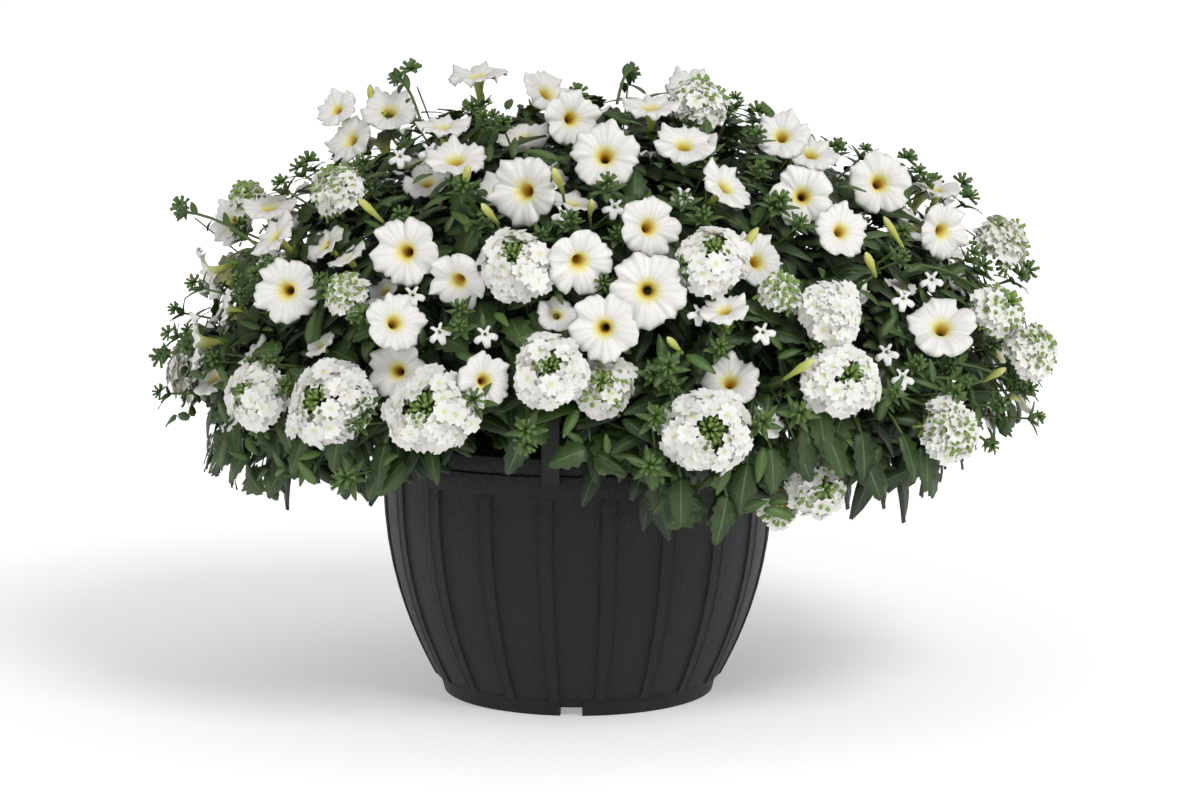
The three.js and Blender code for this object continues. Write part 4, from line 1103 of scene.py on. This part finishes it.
def round_off(bm):
    """Cuts a stem finer, smooths it, and gives it an uneven tone."""
    bmesh.ops.triangulate(bm, faces=bm.faces[:])
    bmesh.ops.subdivide_edges(bm, edges=bm.edges[:], cuts=1, use_grid_fill=True)
    axes = dict(use_axis_x=True, use_axis_y=True, use_axis_z=True)
    for _ in range(2):
        bmesh.ops.smooth_vert(bm, verts=bm.verts[:], factor=0.3, **axes)
    layer = tone_layer(bm)
    for v in bm.verts:
        v[layer] = 0.35 + 0.3 * noise.noise(v.co * 25)


def add_calyx(bm, item):
    """Five narrow leaves that hold the foot of a petunia's tube."""
    foot = item["p"] - item["n"] * 0.66 * item["size"]
    for k in range(5):
        a = math.radians(item["spin"] + 36 + 72 * k)
        side = about(Vector(), item["n"], a, 1.0).to_3x3() @ Vector((1, 0, 0))
        way = item["n"] + side * 0.45
        add_mesh(bm, LANCE, turned(foot, way, -side, 0.3 * item["size"]), 0.6)


def stems_for(name, items, green):
    bm, leaves, buds = bare_stem(name, items)
    round_off(bm)
    if green:
        scratch = as_mesh(green, "green")
        bm.from_mesh(scratch)
        bpy.data.meshes.remove(scratch)
    for base, x, z, long, toothed, _ in leaves:
        tone = 0.35 + 0.5 * draw(round(base.x * 1e4), 31)
        add_mesh(bm, TOOTHED if toothed else LANCE, turned(base, x, z, long * LEAF_GROWTH), tone)
    for at, n, _ in buds:
        add_mesh(bm, BUDS, about(at, n, 0, BUD_SIZE), 0.75)
    for item in items:
        if item["kind"] == "petunia":
            add_calyx(bm, item)
    face_out(bm)
    finish_piece(bm, name + "_stems", LEAF if "shoot" in name else STEM, name)


for name in PLANTS:
    own = [i for i in flowers if i["node"] == name]
    stems_for(name, own, petals_for(name, own) if own else None)
print("plants", len(PLANTS))

# %% [markdown]
# ## The leafy mass
# Between the blooms a real basket is crowded with leaves. They could be grown along branches, but
# branches would hardly show. So the leaves stand in layers, with painted shade in their colour: ones
# deep inside are painted dark, ones near the light lighter. Each is the same few-sided blade, set on
# the dome by seeded draws and facing out and a little up, so that they overlap like shingles.

# %% Where leaves may grow
POT_R, POT_TOP = 157, 206  # a little more than the pot, in mm
LOW_EDGE, LOW_R = 215, 290  # below this height, nothing reaches further out than this


def hem(p):
    """Height of the lowest leaves: just over the rim at the front's middle, lower to the right."""
    bare = math.exp(-((p.x + 45) / 85) ** 2) if p.y < 0 else 0
    lower = math.exp(-((p.x - 150) / 70) ** 2)
    return 176 + 70 * bare - 14 * lower + 10 * noise.noise(p * 0.03)


def dome_point(i, salt, depth):
    """The i-th seeded place on the dome, at a share `depth` of its radius."""
    az = 360 * frac(i * GOLDEN_SHARE + 0.37 * salt)
    el = math.degrees(math.asin(between(-0.2, 0.99, draw(i, 40 + salt))))
    return by_angle(az, el, depth)


def inside_pot(p):
    return math.hypot(p.x, p.y) < POT_R and p.z < POT_TOP


def off_limits(p):
    return inside_pot(p) or p.z < hem(p) or (p.z < LOW_EDGE and math.hypot(p.x, p.y) > LOW_R)


def in_bloom(p):
    """True where p (in mm) lies in the open face of a bloom."""
    for item in flowers:
        gap, across = p - item["p"] / MM, item["across"]
        if gap.length > 0.62 * across:
            continue
        high = gap.dot(item["n"])
        wide = (gap - item["n"] * high).length
        if high > -0.3 * wide - 0.08 * across and wide < 0.52 * across:
            return True
    return False


# %% Leaves on the dome
DROOP_BELOW = 235  # leaves under this height hang a little


def leaf_way(p, n, i, salt):
    """A drawn direction: any way along the dome, and somewhat outward."""
    side = n.cross(UP).normalized()
    a = math.tau * draw(i, 43 + salt)
    way = side * math.cos(a) + n.cross(side) * math.sin(a) + n * (0.25 + 0.5 * draw(i, 44 + salt))
    return way - UP * 0.5 if p.z < DROOP_BELOW else way


def leaf_cloud(name, mesh, count, salt, depths, lengths, depth_shade_tones):
    """Tries `count` places for a leaf, and makes one piece of those that are free.

    Depths are shares of the dome's radius, lengths are in mm, and the tones go from dark to light:
    painted shade, since a leaf is painted darker the deeper it lies. The salt keeps the draws of one
    cloud apart from another's.
    """
    bm = new_cluster()
    made = 0
    for i in range(count):
        share = draw(i, 41 + salt)
        p = dome_point(i, salt, between(*depths, share))
        if off_limits(p):
            continue
        n = outward(p)
        long = between(*lengths, draw(i, 42 + salt))
        blade = turned(p * MM, leaf_way(p, n, i, salt), n + UP * 0.4, long * MM)
        if any(in_bloom(blade @ Vector((t, 0, -0.2 * t * t)) / MM) for t in (0, 0.35, 0.7, 1)):
            continue
        # painted shade: the tone darkens with the leaf's depth in the dome, plus a random part
        add_mesh(bm, mesh, blade, between(*depth_shade_tones, 0.5 * draw(i, 45 + salt) + 0.5 * share))
        made += 1
    piece = finish_piece(bm, name, LEAF)
    print(name, made, "leaves", len(piece.data.polygons), "faces")


# Painted shade: the deeper a cloud lies, the darker its range of tones
leaf_cloud("leaves_deep", LANCE, 1200, 0, (0.6, 0.8), (34, 50), (-0.1, 0.05))
leaf_cloud("leaves_middle", LANCE, 1700, 10, (0.76, 0.9), (24, 38), (0.0, 0.25))
leaf_cloud("leaves_toothed", TOOTHED, 700, 20, (0.8, 0.94), (22, 34), (0.1, 0.45))
leaf_cloud("leaves_outer", LANCE, 1100, 30, (0.88, 0.98), (14, 26), (0.15, 0.75))

# %% [markdown]
# ## Smaller blooms between the large ones
# A full basket also carries half-hidden and just-opened blooms, and loose sprigs of buds. They
# could be nodes of the frame too, but they are too small to matter to a plain model. So they are
# added only here, wherever the draws find room between what is already there.


# %% Stalks and sprigs
def room_at(p, taken, gap):
    return all((p - q).length > radius + gap for q, radius in taken)


def tube(bm, points, radius):
    """A thin five-sided stem through `points` (in mm), closed at both ends."""
    last = len(points) - 1
    for k, turns, loop in rings(bm, 5, len(points)):
        way = points[min(k + 1, last)] - points[max(k - 1, 0)]
        side = way.cross(Vector((0.3, 0.2, 1))).normalized()
        over = side.cross(way).normalized()
        for v, a in turns.items():
            v.co = (points[k] + (side * math.cos(a) + over * math.sin(a)) * radius) * MM
    close_ends(bm, loop)


def curve(a, b, sag, steps=6):
    """Points from a to b that hang `sag` mm below the straight line at its middle."""
    shares = [k / steps for k in range(steps + 1)]
    return [a.lerp(b, t) - UP * sag * 4 * t * (1 - t) for t in shares]


def add_sprig(bm, tip, n, salt, size, collar=0.015, rise=0.45):
    """A bud cluster at `tip` (in mm), with a collar of small leaves under it."""
    add_mesh(bm, BUDS, about(tip * MM, n, salt * CIRCLE, size), 0.75)
    for k in range(6):
        way = about(Vector(), n, CIRCLE * (k / 6 + salt), 1.0).to_3x3() @ Vector((1, 0, rise))
        long = collar * (0.8 + 0.4 * frac(salt * 7 + k * 0.37))
        add_mesh(bm, LANCE, turned(tip * MM - n * 0.008, way, n, long), 0.5)


# %% Fill-in blooms and sprigs
FILL_TRIES = 900
MOST_SMALL, MOST_SPRIGS = 95, 130
FILL_LOWEST = 225
BACK_Y, TOP_Z = -60, 390  # past these the photograph doesn't show, so blooms may be larger there

taken = [(i["p"] / MM, 0.45 * i["across"]) for i in flowers]
small_petunias, sprigs, stalks = new_cluster(), new_cluster(), new_cluster()


def add_small(p, n, i, unseen):
    size = ((31 if unseen else 24) + 12 * draw(i, 75)) * MM
    add_mesh(small_petunias, SMALL_MESHES[i % 3], about(p * MM, n, draw(i, 76) * CIRCLE, size))
    taken.append((p, 13))


def add_fill_sprig(p, az, el, i):
    tip = by_angle(az, el, 0.96 + 0.07 * draw(i, 80))
    n = outward(tip)
    add_sprig(sprigs, tip, n, draw(i, 77), 0.0055 + 0.003 * draw(i, 78), 0.013, 0.8)
    tube(stalks, curve(by_angle(az, el, 0.8), tip - n * 6, 0), 0.9)
    taken.append((p, 8))


added = [0, 0]
for i in range(FILL_TRIES):
    az, el = 360 * draw(i, 71), math.degrees(math.asin(-0.05 + 1.03 * min(0.98, draw(i, 72))))
    p = by_angle(az, el, 0.9 + 0.05 * draw(i, 73))
    if inside_pot(p) or p.z < FILL_LOWEST:
        continue
    unseen = p.z > TOP_Z or p.y > BACK_Y
    if added[0] < MOST_SMALL and room_at(p, taken, 11 if unseen else 17):
        n = (outward(p) + facing(360 * draw(i, 74), 30) * 0.45).normalized()
        add_small(p, n, i, unseen)
        added[0] += 1
    elif added[1] < MOST_SPRIGS and room_at(p, taken, 7):
        add_fill_sprig(p, az, el, i)
        added[1] += 1
print("small petunias and sprigs", added)

# %% [markdown]
# ## Buds, hanging leaves and trailing shoots
# These loose ends make the outline look grown: rolled petunia buds, toothed leaves that hang over
# the lip, and thin shoots that trail at the side. Draws could scatter them too, but the eye knows
# an outline at once. So each has a place in the upright plane through the pot, as the blooms have.

# %% Rolled buds and hanging leaves
ROLLED_BUDS = [(-11, 394), (-61, 370), (9, 375), (81, 270), (251, 352), (314, 248), (-158, 459),
               (120, 342), (-88, 396), (160, 250), (-150, 372), (230, 330)]
HANGING_LEAVES = [(-212, 182), (-229, 198), (-41, 185), (80, 149), (116, 134), (220, 185), (223, 164),
                  (252, 183), (270, 174), (60, 172), (-150, 176), (-185, 190), (178, 192), (192, 186),
                  (205, 196), (186, 204), (168, 180), (150, 172), (132, 160)]

rolled = new_cluster()
for i, (u, w) in enumerate(ROLLED_BUDS):
    p = on_dome(u, w - 8, 8)
    way = (outward(p) * 0.5 + UP * 0.6 + facing(360 * draw(i, 91), 0) * 0.9).normalized()
    add_mesh(rolled, SPINDLE, turned(p * MM, way, outward(p), 0.023 + 0.007 * draw(i, 96)), 0.5)
    tube(stalks, curve(CENTRE.lerp(p, 0.8), p + way * 3, 4), 1.1)
for i, (u, w) in enumerate(HANGING_LEAVES):
    p = on_dome(u, w + 16, 14)
    way = Vector((1.1 * (draw(i, 92) - 0.5), -0.3, -1))
    face = outward(p) + Vector((draw(i, 97) - 0.5, 0, 0.6 * draw(i, 98)))
    blade = turned(p * MM, way, face, 0.029 + 0.01 * draw(i, 93))
    add_mesh(sprigs, HANGING, blade, 0.1 + 0.25 * draw(i, 99))
    tube(stalks, curve(p + Vector((-0.12 * p.x, -0.2 * p.y, 34)), p, -4), 1.0)
print("rolled buds", len(ROLLED_BUDS), "hanging leaves", len(HANGING_LEAVES))

# %% Sprigs and shoots
SPRIGS = [(-207, 411), (-192, 313), (-169, 222), (-81, 226), (-41, 202), (-181, 165), (70, 253), (60, 213),
          (56, 174), (144, 209), (173, 216), (138, 449), (156, 381), (267, 395), (301, 383), (253, 413),
          (0, 463), (23, 394), (341, 323)]
SHOOTS = [((215, 235), (322, 190)), ((232, 224), (300, 240)), ((250, 250), (338, 240)),
          ((-200, 240), (-322, 262)), ((-230, 330), (-306, 372)), ((-120, 440), (-140, 474)),
          ((30, 455), (42, 479)), ((255, 330), (322, 300))]

for i, place in enumerate(SPRIGS):
    tip = on_dome(*place, -6)
    add_sprig(sprigs, tip, (outward(tip) + UP * 0.2).normalized(), draw(i, 94), 0.0085)
    tube(stalks, curve(CENTRE.lerp(tip, 0.8), tip - outward(tip) * 6, 0), 1.0)
for i, (start, end) in enumerate(SHOOTS):
    path = curve(on_dome(*start, 20), on_dome(*end, 12), -9)
    tube(stalks, path, 1.2)
    for k in (2, 3, 4, 5):
        way = (path[k] - path[k - 1]).normalized() + UP * (0.7 if k % 2 else -0.7)
        add_mesh(sprigs, LANCE, turned(path[k] * MM, way, outward(path[k]), 0.016), 0.5)
    add_sprig(sprigs, path[-1], (path[-1] - path[-2]).normalized(), draw(i, 95), 0.006, 0.009, 1.3)
print("sprigs", len(SPRIGS), "shoots", len(SHOOTS))

# %% Finish the loose ends
face_out(stalks)
finish_piece(small_petunias, "small_petunias", PETUNIA)
finish_piece(rolled, "rolled_buds", PETUNIA)
finish_piece(sprigs, "bud_sprigs", LEAF)
finish_piece(stalks, "loose_stalks", STEM)

# %% [markdown]
# ## Floor, light and camera
# The photograph is a studio cut-out: a white ground, soft light from the front and the right, and
# a faint shadow round the pot's foot. A floor alone turns grey away from the lamps, so this one
# glows a little more with its distance, until it meets the white world. The camera stands where
# the perspective of the lip and the foot puts the eye: about 2.3 m away, looking down by 8 degrees.

# %% Floor
FLOOR_GREY = (0.93, 0.93, 0.93, 1)
FLOOR_GLOW = [(0.1, (0.33, 0.33, 0.34)), (0.35, (0.42, 0.42, 0.42)), (0.8, (0.8, 0.8, 0.8))]
GLOW_REACH = 2.0  # distance from the pot, in metres, that the glow's stops are shares of


def add_floor():
    bm = bmesh.new()
    bmesh.ops.create_grid(bm, x_segments=1, y_segments=1, size=12)
    floor = new_object("studio_floor", as_mesh(bm, "floor"))
    mat, tree, shader = new_material("Floor", Roughness=0.9, Base_Color=FLOOR_GREY,
                                     Emission_Strength=1.0, Specular_IOR_Level=0.1)
    away = node(tree, "ShaderNodeVectorMath", operation="LENGTH")
    tree.links.new(on_object(tree), away.inputs[0])
    glow = ramp(calc("DIVIDE", away.outputs["Value"], GLOW_REACH), FLOOR_GLOW)
    tree.links.new(glow, shader.inputs["Emission Color"])
    floor.data.materials.append(mat)


add_floor()
print("floor made")

# %% Light
WORLD_LIGHT = 0.42  # what the world gives the scene
WORLD_SEEN = 1.02  # what the camera sees of it, so that the background is white
AIM = Vector((0, 0, 0.25))


def add_area(name, place, power, size):
    light = bpy.data.lights.new(name, "AREA")
    light.energy = power
    light.shape = "DISK"
    light.size = size
    lamp = new_object(name, light)
    lamp.location = place
    lamp.rotation_euler = (AIM - Vector(place)).to_track_quat("-Z", "Y").to_euler()


def add_world():
    world = bpy.data.worlds.new("studio")
    bpy.context.scene.world = world
    world.use_nodes = True
    tree = world.node_tree
    back = tree.nodes["Background"]
    back.inputs["Color"].default_value = (1, 1, 1, 1)
    seen = node(tree, "ShaderNodeLightPath").outputs["Is Camera Ray"]
    power = calc("ADD", calc("MULTIPLY", seen, WORLD_SEEN - WORLD_LIGHT), WORLD_LIGHT)
    tree.links.new(power, back.inputs["Strength"])


add_world()
add_area("key", (1.25, -1.9, 2.4), 46, 1.2)
add_area("fill", (-1.8, -2.4, 1.3), 9, 1.6)
print("lamps", [lamp.name for lamp in bpy.data.lights])

# %% Camera
camera = bpy.data.cameras.new("camera")
camera.lens = 90.3
camera.sensor_width = 36
eye = new_object("camera", camera)
eye.location = EYE * MM
eye.rotation_euler = (math.radians(90 - 7.8), 0, 0)
bpy.context.scene.camera = eye
bpy.context.scene.view_settings.view_transform = "Standard"
bpy.context.scene.view_settings.look = "None"
print("camera at", [round(c, 3) for c in eye.location])
